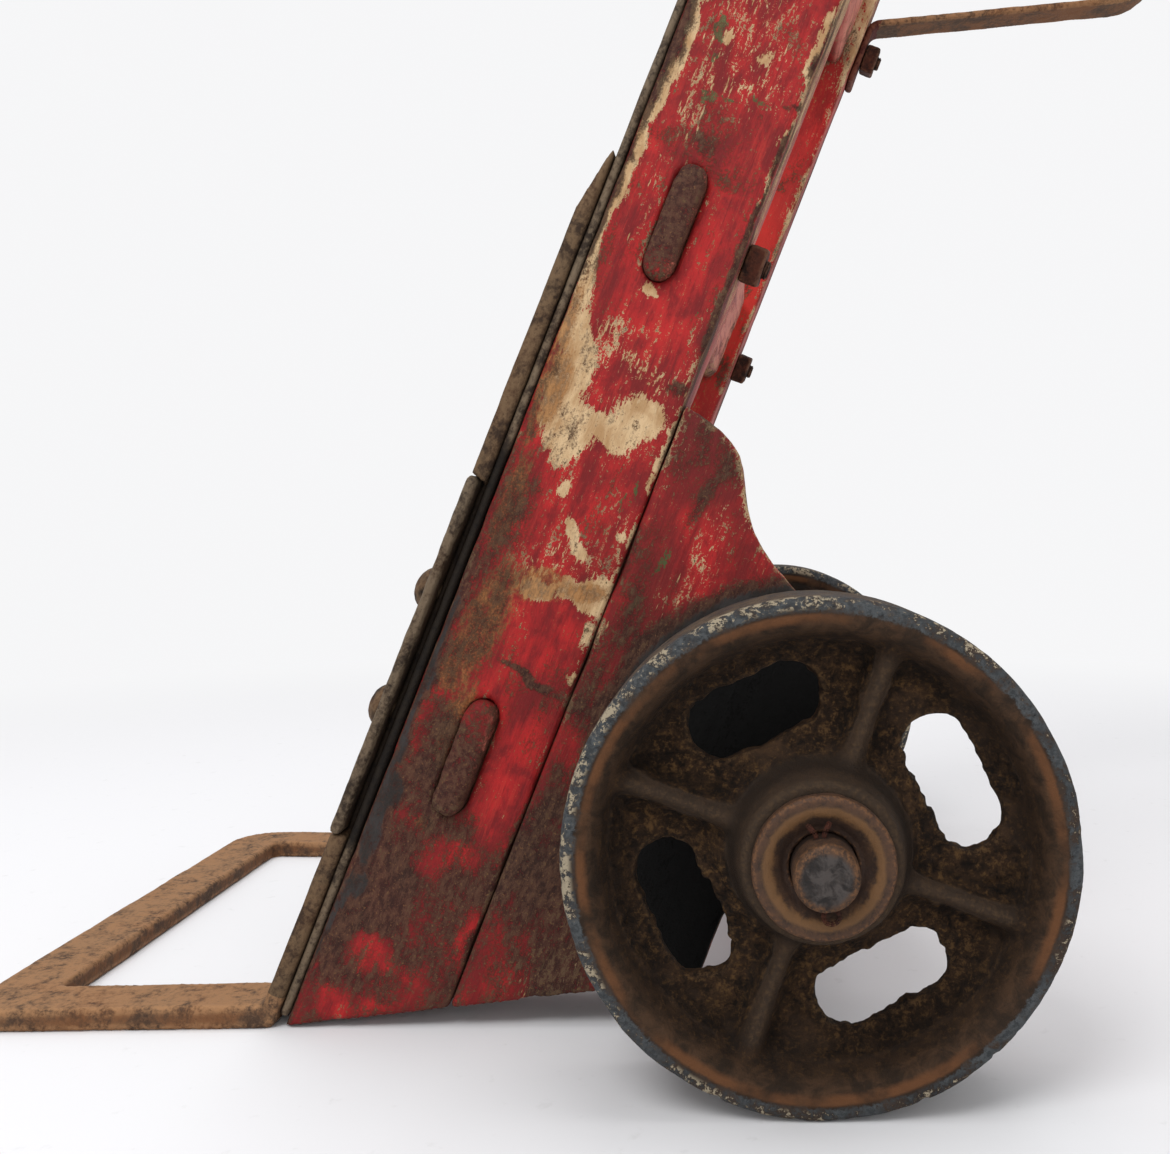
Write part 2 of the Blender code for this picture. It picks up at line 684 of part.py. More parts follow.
def make_fasteners(side, sign, parts):
    across = sign * (RAIL_MIDDLE + PLATE_BOLTS_OUT)
    plate_front = BAR_FRONT - PLATE_PROUD
    through = [parts["plate"], parts["toe"], parts["strap"], parts["rail"], parts["block"]]
    for level, along in PLATE_BOLTS.items():
        pinned = parts["bars"][:1] if level == "low" else []
        make_bolt(f"plate_{level}_{side}", across, along, plate_front, BLOCK_REAR, through + pinned)
    along = BAR_BOLTS[side]
    share = max(0, (along - BAR_TAPER) / (BAR_TOP - BAR_TAPER))
    bar_front = BAR_FRONT + share * (BAR_THICK - BAR_TIP_THICK) + BAR_BOLTS_SUNK
    through = [parts["toe"], parts["strap"], parts["rail"], parts["bars"][1]]
    make_bolt(f"bar_{side}", sign * RAIL_MIDDLE, along, bar_front, RAIL_DEPTH, through, domed=False)
    leg_back = RAIL_DEPTH + GAP + LEG_THICK
    for (level, along), bar in zip(LEG_BOLTS.items(), parts["bars"][2:]):
        through = [parts["strap"], parts["rail"], bar, parts["leg"]]
        make_bolt(f"leg_{level}_{side}", sign * RAIL_MIDDLE, along, -GAP - STRAP_THICK, leg_back, through)


# --- The truck ---


def centre_over_origin():
    """Moves the truck along Y so that its box stands centred on the origin."""
    bpy.context.view_layer.update()
    graph = bpy.context.evaluated_depsgraph_get()
    lows, highs = [], []
    for obj in PARTS.objects:
        if obj.type == "MESH":
            evaluated = obj.evaluated_get(graph)
            reach = [(evaluated.matrix_world @ vert.co).y for vert in evaluated.data.vertices]
            lows.append(min(reach))
            highs.append(max(reach))
    TRUCK_FRAME.location.y = -(min(lows) + max(highs)) / 2


clear_scene()
PARTS = new_collection("hand_truck")
CUTTERS = new_collection("cutters")
RED_PAINT = new_material("worn_red_paint", (0.36, 0.03, 0.035), 0.6, 0.0)
WORN_IRON = new_material("dark_iron", (0.07, 0.055, 0.045), 0.7, 0.5)
FORGED_IRON = new_material("rusted_iron", (0.16, 0.09, 0.055), 0.75, 0.4)
CAST_IRON = new_material("cast_iron", (0.06, 0.04, 0.025), 0.85, 0.3)
MACHINED_IRON = new_material("rusted_steel", (0.20, 0.10, 0.06), 0.6, 0.6)

TRUCK_FRAME = new_empty("truck_frame")
RAIL_FRAME = new_empty("rail_frame", TRUCK_FRAME, (0, -AXLE_BEHIND_TIP, TIP_HEIGHT), (-LEAN, 0, 0))
AXLE_FRAME = new_empty("axle_frame", TRUCK_FRAME, (0, 0, WHEEL_RADIUS))
AXLE_HOLE = place(cylinder("axle_hole", AXLE_RADIUS + GAP, 0.4, 24), AXLE_FRAME, rotation=(0, math.pi / 2, 0))

rails = {side: make_rail(side, sign) for side, sign in SIDES.items()}
crossbars = [make_crossbar(n, height, rails.values()) for n, height in enumerate(CROSSBARS, 1)]
toe_iron = make_toe_iron()
cross_plate = make_cross_plate()
main_axle = make_axle()
for side, sign in SIDES.items():
    parts = {
        "rail": rails[side],
        "bars": crossbars,
        "toe": toe_iron,
        "plate": cross_plate,
        "strap": make_strap(side, sign),
        "block": make_axle_block(side, sign),
        "leg": make_leg_iron(side, sign),
    }
    make_fasteners(side, sign, parts)
    hub_inner, hub_outer = WHEEL_MIDDLE - HUB_HALF, WHEEL_MIDDLE + HUB_HALF
    make_ring(
        f"inner_collar_{side}", COLLAR_RADIUS, RAIL_OUTER + GAP, hub_inner - GAP, sign, 0.001, 24, MACHINED_IRON
    )
    make_ring(
        f"outer_washer_{side}", WASHER_RADIUS, hub_outer + GAP, WASHER_FRONT, sign, 0.0012, 24, MACHINED_IRON
    )
    make_cotter(side, sign, main_axle)
    turn = (math.pi / 2, 0, sign * math.pi / 2)
    wheel_frame = new_empty(f"wheel_{side}_axis", AXLE_FRAME, (sign * WHEEL_MIDDLE, 0, 0), turn)
    make_wheel(side, wheel_frame)
centre_over_origin()
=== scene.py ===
"""Looks of the old wooden hand truck: worn red paint, rusted ironwork and gritty cast-iron wheels.

Each piece is a finely meshed, worn copy of its CAD node or a finely turned piece in the same place. Pieces on
the rails are built in the rail frame (X across, Y from front to back, Z up the rails), pieces on the axle in
the axle's, and wheels in their own, whose Z points outwards.
"""

import json
import math

import bmesh
import bpy
import numpy as np
from mathutils import Matrix, Vector
from mathutils.bvhtree import BVHTree


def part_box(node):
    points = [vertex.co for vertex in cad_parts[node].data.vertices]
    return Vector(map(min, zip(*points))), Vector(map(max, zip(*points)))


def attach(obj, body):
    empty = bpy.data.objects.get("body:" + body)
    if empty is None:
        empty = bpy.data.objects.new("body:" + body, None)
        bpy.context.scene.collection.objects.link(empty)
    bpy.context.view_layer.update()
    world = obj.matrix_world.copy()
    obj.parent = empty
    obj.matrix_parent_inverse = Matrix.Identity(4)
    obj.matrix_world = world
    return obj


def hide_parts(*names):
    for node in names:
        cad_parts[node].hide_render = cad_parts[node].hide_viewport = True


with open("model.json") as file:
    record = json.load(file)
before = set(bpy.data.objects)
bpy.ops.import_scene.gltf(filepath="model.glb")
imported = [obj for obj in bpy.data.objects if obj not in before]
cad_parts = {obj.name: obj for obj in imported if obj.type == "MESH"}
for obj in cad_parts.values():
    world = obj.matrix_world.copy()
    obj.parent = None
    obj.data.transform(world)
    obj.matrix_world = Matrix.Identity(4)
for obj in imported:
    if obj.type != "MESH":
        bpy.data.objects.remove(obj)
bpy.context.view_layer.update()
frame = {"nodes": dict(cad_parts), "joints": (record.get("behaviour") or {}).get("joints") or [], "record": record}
NODES = frame["nodes"]
BODY_OF = {node: body for body, nodes in frame["record"]["behaviour"]["bodies"].items() for node in nodes}
AXLE_Y, AXLE_Z = frame["joints"][0]["pos_m"][1:]
LEAN = math.radians(21.4)
SIDES = {"left": 1, "right": -1}
WHEEL_X = 0.223

WORLD = Matrix.Identity(4)
RAIL = Matrix.Translation((0, AXLE_Y - 0.2406, 0.0006)) @ Matrix.Rotation(-LEAN, 4, "X")
AXLE = Matrix.Translation((0, AXLE_Y, AXLE_Z))
WHEEL = {
    side: Matrix.Translation((sign * WHEEL_X, AXLE_Y, AXLE_Z))
    @ Matrix.Rotation(sign * math.pi / 2, 4, "Z")
    @ Matrix.Rotation(math.pi / 2, 4, "X")
    for side, sign in SIDES.items()
}


# --- Noise and mesh tools ---


def lattice(corner, seed):
    """A repeatable number from -1 to 1 for each whole-number point."""
    mixed = (
        corner[:, 0].astype(np.uint32) * np.uint32(374761393)
        + corner[:, 1].astype(np.uint32) * np.uint32(668265263)
        + corner[:, 2].astype(np.uint32) * np.uint32(2246822519)
        + np.uint32(seed * 3266489917 % 2**32)
    )
    mixed = (mixed ^ (mixed >> np.uint32(13))) * np.uint32(1274126177)
    mixed = (mixed ^ (mixed >> np.uint32(15))) * np.uint32(2654435761)
    return (mixed ^ (mixed >> np.uint32(16))) / 2**31 - 1


def unit(values):
    """The values held between 0 and 1."""
    return np.clip(values, 0, 1)


def noise(points, size, seed, octaves=1):
    """Smooth noise from about -1 to 1. Size is in metres, one number or one for each axis."""
    total, weight = 0, 1
    for octave in range(octaves):
        scaled = points / np.asarray(size) * 2**octave + 1000.5
        base = np.floor(scaled).astype(np.int64)
        t = scaled - base
        t = t * t * (3 - 2 * t)
        value = 0
        for x in (0, 1):
            for y in (0, 1):
                for z in (0, 1):
                    share = np.prod(np.where((x, y, z), t, 1 - t), axis=1)
                    value = value + share * lattice(base + (x, y, z), seed + octave)
        total = total + value * weight
        weight /= 2
    return total


def points_of(mesh):
    points = np.empty(len(mesh.vertices) * 3, np.float32)
    mesh.vertices.foreach_get("co", points)
    return points.reshape(-1, 3).astype(float)


def normals_of(mesh):
    normals = np.empty(len(mesh.vertices) * 3, np.float32)
    mesh.vertex_normals.foreach_get("vector", normals)
    return normals.reshape(-1, 3).astype(float)


def set_points(mesh, points):
    mesh.vertices.foreach_set("co", points.astype(np.float32).ravel())
    mesh.update()


def relaxed(points, mesh, rounds):
    """The points after each has moved towards its neighbours' middle a number of times."""
    edges = np.empty(len(mesh.edges) * 2, np.int32)
    mesh.edges.foreach_get("vertices", edges)
    a, b = edges.reshape(-1, 2).T
    count = len(points)
    degree = np.bincount(a, minlength=count) + np.bincount(b, minlength=count)
    degree = np.maximum(degree, 1)
    points = points.copy()
    for _ in range(rounds):
        middle = np.stack(
            [
                np.bincount(a, points[b, axis], count) + np.bincount(b, points[a, axis], count)
                for axis in range(3)
            ],
            axis=1,
        )
        points += 0.5 * (middle / degree[:, None] - points)
    return points


def evaluated_mesh(obj):
    graph = bpy.context.evaluated_depsgraph_get()
    return bpy.data.meshes.new_from_object(obj.evaluated_get(graph))


def new_object(name, mesh, matrix):
    obj = bpy.data.objects.new(name, mesh)
    bpy.context.scene.collection.objects.link(obj)
    obj.matrix_world = matrix
    return obj


def remeshed(obj, voxel):
    """Replaces the object's mesh with an even skin of quads, after its other modifiers."""
    skin = obj.modifiers.new("Skin", "REMESH")
    skin.mode = "VOXEL"
    skin.voxel_size = voxel
    mesh = evaluated_mesh(obj)
    obj.modifiers.clear()
    obj.data = mesh
    return obj


def node_copy(node, matrix):
    mesh = NODES[node].data.copy()
    mesh.transform(matrix.inverted())
    mesh.materials.clear()
    return new_object(node + "_worn", mesh, matrix)


def turned(name, profile, steps, matrix, step_length=0.001):
    """A shape turned about its local X from (distance along, radius) points, cut into short steps."""
    ring = []
    for (a, r), (b, s) in zip(profile, profile[1:]):
        count = max(1, round(math.hypot(b - a, s - r) / step_length))
        ring += [(a + (b - a) * i / count, r + (s - r) * i / count) for i in range(count)]
    ring.append(profile[-1])
    work = bmesh.new()
    rings = []
    for along, radius in ring:
        if radius < 1e-6:
            rings.append([work.verts.new((along, 0, 0))] * steps)
            continue
        angles = [math.tau * i / steps for i in range(steps)]
        rings.append(
            [work.verts.new((along, radius * math.cos(t), radius * math.sin(t))) for t in angles]
        )
    pairs = list(zip(rings, rings[1:]))
    if profile[0][1] > 1e-6:
        pairs.append((rings[-1], rings[0]))
    for lower, upper in pairs:
        for i in range(steps):
            corners = (lower[i], lower[(i + 1) % steps], upper[(i + 1) % steps], upper[i])
            work.faces.new(dict.fromkeys(corners))
    bmesh.ops.recalc_face_normals(work, faces=work.faces)
    mesh = bpy.data.meshes.new(name)
    work.to_mesh(mesh)
    work.free()
    return new_object(name, mesh, matrix)


def store(mesh, name, channels):
    """Stores up to four numbers a point, as the colour attribute that materials read."""
    values = np.zeros((len(mesh.vertices), 4), np.float32)
    for index, channel in enumerate(channels):
        values[:, index] = channel
    attribute = mesh.attributes.new(name, "FLOAT_COLOR", "POINT")
    attribute.data.foreach_set("color", values.ravel())


def nearness(node, points, reach):
    """From 1 where another piece of the truck touches this one to 0 where it is farther than reach."""
    near = np.zeros(len(points))
    for other, obj in NODES.items():
        if other == node:
            continue
        low, high = (np.array(corner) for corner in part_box(other))
        close = np.all((points > low - reach) & (points < high + reach), axis=1).nonzero()[0]
        if not len(close):
            continue
        tree = BVHTree.FromPolygons(
            [vert.co for vert in obj.data.vertices], [face.vertices for face in obj.data.polygons]
        )
        for index in close:
            distance = tree.find_nearest(points[index], reach)[3]
            if distance is not None:
                near[index] = max(near[index], 1 - distance / reach)
    return near


def wear(obj, node, seed, rounding, dents, chips, reach, extra=None):
    """Rounds the edges, dents the faces and chips the edges, then stores what the materials need to know:
    how convex each point is, how near other pieces are, and two more numbers."""
    mesh = obj.data
    points = relaxed(points_of(mesh), mesh, rounding)
    set_points(mesh, points)
    normals = normals_of(mesh)
    edge = ((points - relaxed(points, mesh, 10)) * normals).sum(axis=1)
    span = np.median(np.linalg.norm(np.diff(points[:400], axis=0), axis=1)) + 1e-9
    edge = np.clip(edge / max(span, 0.0006), -1, 1)
    moved = np.zeros(len(points))
    for index, (size, height) in enumerate(dents):
        moved += height * noise(points, size, seed + 10 * index, 2)
    size, depth = chips
    chipped = unit(noise(points, size, seed + 77, 2) - 0.1)
    moved -= depth * unit(edge * 3) * chipped
    points = points + normals * moved[:, None]
    set_points(mesh, points)
    turn = np.array(obj.matrix_world)
    world = points @ turn[:3, :3].T + turn[:3, 3]
    normals = normals_of(mesh)
    more = extra(points, normals) if extra else (chipped, 0)
    store(mesh, "form", (edge * 0.5 + 0.5, nearness(node, world, reach), *more))
    return points, normals


def finish(obj, node, material, other=None, where=None):
    """Gives a piece its material, or two, with the other where its test holds, and its place on the truck.

    Its mesh moves into the world's axes, and materials read each point's place in the piece's own."""
    mesh = obj.data
    mesh.materials.clear()
    mesh.materials.append(material)
    if other:
        mesh.materials.append(other)
        for face in mesh.polygons:
            face.material_index = int(where(face.center))
    own = mesh.attributes.new("own_place", "FLOAT_VECTOR", "POINT")
    own.data.foreach_set("vector", points_of(mesh).astype(np.float32).ravel())
    mesh.transform(obj.matrix_world)
    obj.matrix_world = WORLD
    mesh.shade_smooth()
    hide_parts(node)
    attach(obj, BODY_OF[node])


# --- Materials ---


class Look:
    """Builds one material's nodes. Values may be numbers, colours or other nodes' outputs.

    A colour of whole numbers is 0 to 255 as a screen shows it, and one of fractions is linear light."""

    def __init__(self, name):
        self.material = bpy.data.materials.new(name)
        self.material.use_nodes = True
        self.tree = self.material.node_tree
        self.shader = self.tree.nodes["Principled BSDF"]
        self.place = self.node("ShaderNodeAttribute", attribute_name="own_place").outputs["Vector"]

    def node(self, kind, **settings):
        node = self.tree.nodes.new(kind)
        for key, value in settings.items():
            setattr(node, key, value)
        return node

    def put(self, socket, value):
        if isinstance(value, bpy.types.NodeSocket):
            self.tree.links.new(value, socket)
        elif socket.type == "RGBA":
            socket.default_value = (*(screen_light(value) if isinstance(value[0], int) else value), 1)
        else:
            socket.default_value = value

    def math(self, operation, a, b=0.0):
        node = self.node("ShaderNodeMath", operation=operation)
        self.put(node.inputs[0], a)
        self.put(node.inputs[1], b)
        return node.outputs[0]

    def add(self, *terms):
        total = terms[0]
        for term in terms[1:]:
            total = self.math("ADD", total, term)
        return total

    def times(self, a, b):
        return self.math("MULTIPLY", a, b)

    def fade(self, value, low, high):
        """0 below low and 1 above high, or the reverse where low is the higher."""
        node = self.node("ShaderNodeMapRange", interpolation_type="SMOOTHSTEP")
        self.put(node.inputs["Value"], value)
        if low > high:
            low, high = high, low
            node.inputs["To Min"].default_value, node.inputs["To Max"].default_value = 1, 0
        node.inputs["From Min"].default_value = low
        node.inputs["From Max"].default_value = high
        return node.outputs["Result"]

    def mix(self, share, a, b):
        node = self.node("ShaderNodeMix", data_type="RGBA")
        self.put(node.inputs[0], share)
        self.put(node.inputs[6], a)
        self.put(node.inputs[7], b)
        return node.outputs[2]

    def stretched(self, stretch, shift):
        node = self.node("ShaderNodeVectorMath", operation="MULTIPLY_ADD")
        self.put(node.inputs[0], self.place)
        node.inputs[1].default_value = stretch
        node.inputs[2].default_value = (shift, shift * 0.37, -shift * 0.61)
        return node.outputs[0]

    def cover(self, colour, share, strength, top):
        """The colour under another, where share says and as strongly as strength."""
        return self.mix(self.times(share, strength), colour, top)

    def tones(self, value, dark, light, low=0.4, high=0.6):
        """A colour between two, by a noise."""
        return self.mix(self.fade(value, low, high), dark, light)

    def swing(self, noise, size):
        """A noise as so much above and below 0."""
        return self.times(self.add(noise, -0.5), size)

    def noise(self, size, detail=3, rough=0.55, stretch=(1, 1, 1), shift=0.0, bend=0.0):
        node = self.node("ShaderNodeTexNoise")
        self.put(node.inputs["Vector"], self.stretched(stretch, shift))
        node.inputs["Scale"].default_value = 1 / size
        node.inputs["Detail"].default_value = detail
        node.inputs["Roughness"].default_value = rough
        node.inputs["Distortion"].default_value = bend
        return node.outputs["Fac"]

    def cells(self, size, shift):
        """Distance to the nearest of scattered points, from 0 at each."""
        node = self.node("ShaderNodeTexVoronoi")
        self.put(node.inputs["Vector"], self.stretched((1, 1, 1), shift))
        node.inputs["Scale"].default_value = 1 / size
        return node.outputs["Distance"]

    def stored(self, name):
        """The four numbers stored at each point under this name."""
        node = self.node("ShaderNodeAttribute", attribute_name=name)
        split = self.node("ShaderNodeSeparateColor")
        self.put(split.inputs[0], node.outputs["Color"])
        return (*split.outputs[:3], node.outputs["Alpha"])

    def axes(self):
        split = self.node("ShaderNodeSeparateXYZ")
        self.put(split.inputs[0], self.place)
        return split.outputs[:3]

    def radius(self, keep):
        """Distance from the axis that the keep vector leaves out."""
        flat = self.node("ShaderNodeVectorMath", operation="MULTIPLY")
        self.put(flat.inputs[0], self.place)
        flat.inputs[1].default_value = keep
        length = self.node("ShaderNodeVectorMath", operation="LENGTH")
        self.put(length.inputs[0], flat.outputs[0])
        return length.outputs["Value"]

    def bump(self, height, distance, strength=1.0, under=None):
        node = self.node("ShaderNodeBump")
        node.inputs["Strength"].default_value = strength
        node.inputs["Distance"].default_value = distance
        self.put(node.inputs["Height"], height)
        if under is not None:
            self.put(node.inputs["Normal"], under)
        return node.outputs["Normal"]

    def finished(self, colour, roughness, normal, metallic=0.0, sheen=0.2):
        self.put(self.shader.inputs["Base Color"], colour)
        self.put(self.shader.inputs["Roughness"], roughness)
        self.put(self.shader.inputs["Normal"], normal)
        self.put(self.shader.inputs["Metallic"], metallic)
        self.shader.inputs["Specular IOR Level"].default_value = sheen
        return self.material


def screen_light(colour):
    """A colour of 0 to 255 (sRGB) as linear light."""
    shares = [level / 255 for level in colour]
    return tuple(((c + 0.055) / 1.055) ** 2.4 if c > 0.04 else c / 12.92 for c in shares)


def painted_wood(name, along):
    """Red paint over cream primer over wood, worn through where the stored marks say.

    Along is the grain's axis."""
    look = Look(name)
    grain = tuple(0.06 if axis == along else 1.0 for axis in range(3))
    drawn = tuple(0.5 if axis == along else 1.0 for axis in range(3))
    strokes = tuple(0.16 if axis == along else 1.0 for axis in range(3))
    edge, near, rust, chalk_and_painted_light = look.stored("form")
    bare, dirt, green, deep_red_and_shade = look.stored("marks")
    broad = look.noise(0.045, 3, 0.6, shift=3.1)
    blotch = look.noise(0.012, 5, 0.62, drawn, 7.7, 0.3)
    fleck = look.noise(0.0028, 5, 0.75, drawn, 1.3)
    speck = look.noise(0.0013, 4, 0.75, shift=4.9)
    streak = look.noise(0.0034, 5, 0.7, grain, 5.9)
    hair = look.noise(0.0011, 3, 0.65, grain, 9.2)
    scratch = look.noise(0.0014, 4, 0.7, strokes, 12.6)

    red = look.tones(blotch, (120, 23, 26), (178, 34, 34), 0.34, 0.64)
    red = look.cover(red, look.fade(streak, 0.52, 0.72), 0.45, (192, 56, 46))
    red = look.cover(red, look.fade(streak, 0.48, 0.3), 0.5, (98, 20, 22))
    dull = look.fade(look.add(fleck, look.times(blotch, 0.5)), 0.74, 0.6)
    red = look.cover(red, dull, 0.5, (104, 24, 24))
    # Deep red in patches; on the rails' inner faces beside the crossbars it is painted shade.
    red = look.mix(look.times(deep_red_and_shade, look.fade(broad, 0.2, 0.6)), red, (98, 25, 24))
    red = look.cover(red, look.fade(hair, 0.58, 0.7), 0.4, (70, 20, 20))
    red = look.cover(red, look.fade(speck, 0.6, 0.72), 0.45, (182, 92, 70))
    # The chalk number lays chalky paint with a painted sheen; below 0 it is painted light, a brighter red, on the
    # rails' inner faces.
    red = look.mix(look.times(chalk_and_painted_light, look.fade(streak, 0.25, 0.6)), red, (196, 116, 96))
    red = look.cover(red, chalk_and_painted_light, -1.0, (205, 48, 38))

    primer = look.tones(blotch, (168, 132, 92), (206, 176, 136), 0.36, 0.64)
    primer = look.cover(primer, look.fade(fleck, 0.55, 0.72), 0.5, (216, 198, 164))
    primer = look.cover(primer, look.fade(streak, 0.42, 0.3), 0.5, (146, 108, 70))
    primer = look.cover(primer, look.fade(speck, 0.4, 0.3), 0.75, (112, 78, 48))
    wood = look.tones(streak, (70, 46, 30), (134, 92, 58), 0.35, 0.65)

    # Paint wears off along convex edges and where the marks say, in ragged flakes.
    worn_edge = look.times(look.fade(edge, 0.53, 0.7), look.fade(look.add(broad, blotch), 0.85, 1.15))
    ragged = look.add(look.swing(blotch, 1.2), look.swing(fleck, 2.4), look.swing(speck, 1.9))
    ragged = look.add(ragged, look.swing(streak, 0.8))
    loss = look.add(bare, look.times(worn_edge, 0.32), ragged)
    scored = look.fade(look.add(scratch, look.times(bare, 0.34)), 0.69, 0.72)
    scored = look.times(scored, look.fade(bare, 0.1, 0.2))
    no_paint = look.math("MAXIMUM", look.fade(loss, 0.49, 0.54), scored)
    no_primer = look.fade(look.add(loss, look.times(look.fade(streak, 0.62, 0.36), 0.3)), 1.62, 1.72)
    colour = look.mix(no_paint, red, primer)
    colour = look.mix(no_primer, colour, wood)
    stain = look.fade(look.add(rust, look.times(ragged, 0.7)), 0.15, 0.75)
    tan = look.tones(fleck, (84, 54, 34), (158, 108, 60), 0.38, 0.62)
    colour = look.cover(colour, stain, 0.8, tan)

    greens = look.fade(look.add(green, ragged), 0.52, 0.6)
    colour = look.cover(colour, greens, 0.8, look.tones(fleck, (44, 50, 32), (52, 88, 48)))

    # Grime gathers in seams, low down and in hollows. Rust flecks and the last paint show through it.
    shade_and_soot = look.add(
        look.times(dirt, 0.9),
        look.times(look.fade(near, 0.5, 1.0), 0.35),
        look.times(look.fade(edge, 0.46, 0.3), 0.4),
        look.times(look.add(broad, blotch, -1.0), 1.7),
        look.times(look.add(fleck, speck, -1.0), 1.5),
    )
    grime = look.tones(fleck, (42, 30, 24), (80, 57, 43), 0.38, 0.62)
    grime = look.cover(grime, look.fade(speck, 0.56, 0.68), 0.7, (122, 86, 54))
    colour = look.cover(colour, look.fade(shade_and_soot, 0.14, 0.72), 0.93, grime)
    slate = look.fade(look.add(dirt, look.times(ragged, 0.35)), 1.15, 1.45)
    colour = look.cover(colour, slate, 0.9, look.tones(blotch, (36, 36, 35), (52, 52, 52)))
    # Painted shade: near black where the dirt number passes 1.6, which only the blocks' faces behind the wheels
    # reach.
    colour = look.mix(look.fade(dirt, 1.6, 1.9), colour, (6, 5, 4))

    roughness = look.add(0.55, look.times(no_paint, 0.2), look.times(look.fade(shade_and_soot, 0.1, 0.6), 0.15))
    film = look.add(1.0, look.times(no_paint, -0.6), look.times(no_primer, -0.4))
    normal = look.bump(film, 0.0004, 0.7)
    crust = look.times(look.times(look.fade(shade_and_soot, 0.2, 0.8), look.add(fleck, speck)), 1.5)
    relief = look.add(streak, look.times(hair, 0.6), look.times(fleck, 0.4), crust)
    normal = look.bump(relief, 0.0009, 0.5, normal)
    return look.finished(colour, roughness, normal)


def rusted(name, colours, orange_share, grit=0.5):
    """Iron with rust in patches, rubbed lighter on its edges, dark where dirt gathers and near black where a piece
    lays painted shadow.
    """
    look = Look(name)
    dark, middle, light, orange, bright = colours
    edge, near, shade_and_soot, slate = look.stored("form")
    broad = look.noise(0.04, 4, 0.6, shift=4.4)
    patch = look.noise(0.012, 5, 0.65, shift=8.8, bend=0.6)
    fine = look.noise(0.0026, 5, 0.72, shift=1.9)
    grain = look.noise(0.0009, 3, 0.6, shift=0.7)
    pits = look.cells(0.0019, 6.1)
    colour = look.mix(look.fade(look.add(patch, look.times(fine, 0.6)), 0.62, 0.98), dark, middle)
    colour = look.cover(colour, look.fade(fine, 0.5, 0.68), 0.5, light)
    warm = look.fade(look.add(broad, look.times(patch, 0.6), look.times(fine, 0.4)), 0.86, 1.14)
    colour = look.cover(colour, warm, orange_share, orange)
    colour = look.cover(colour, look.fade(grain, 0.55, 0.7), 0.3, light)
    rubbed = look.times(look.fade(edge, 0.53, 0.66), look.fade(look.add(fine, patch), 0.8, 1.15))
    colour = look.cover(colour, rubbed, 0.65, bright)
    colour = look.cover(colour, look.fade(near, 0.5, 1.0), 0.5, (26, 19, 15))
    colour = look.cover(colour, look.fade(pits, 0.2, 0.08), 0.4, dark)
    colour = look.mix(slate, colour, look.tones(fine, (34, 34, 33), (54, 53, 52)))
    dusty = look.times(look.times(slate, -1.0), look.fade(look.add(patch, fine), 0.7, 1.1))
    colour = look.mix(dusty, colour, bright)
    # Painted shadow: near black where the stored number says, as behind the cross plate.
    colour = look.mix(shade_and_soot, colour, (15, 11, 9))
    roughness = look.add(0.62, look.times(fine, 0.3), look.times(rubbed, -0.15))
    metallic = look.add(0.15, look.times(rubbed, 0.25))
    normal = look.bump(look.add(patch, look.times(fine, 0.8), look.times(grain, 0.3)), 0.0009, grit)
    normal = look.bump(look.fade(pits, 0.05, 0.35), 0.0003, grit, normal)
    return look.finished(colour, roughness, normal, metallic)


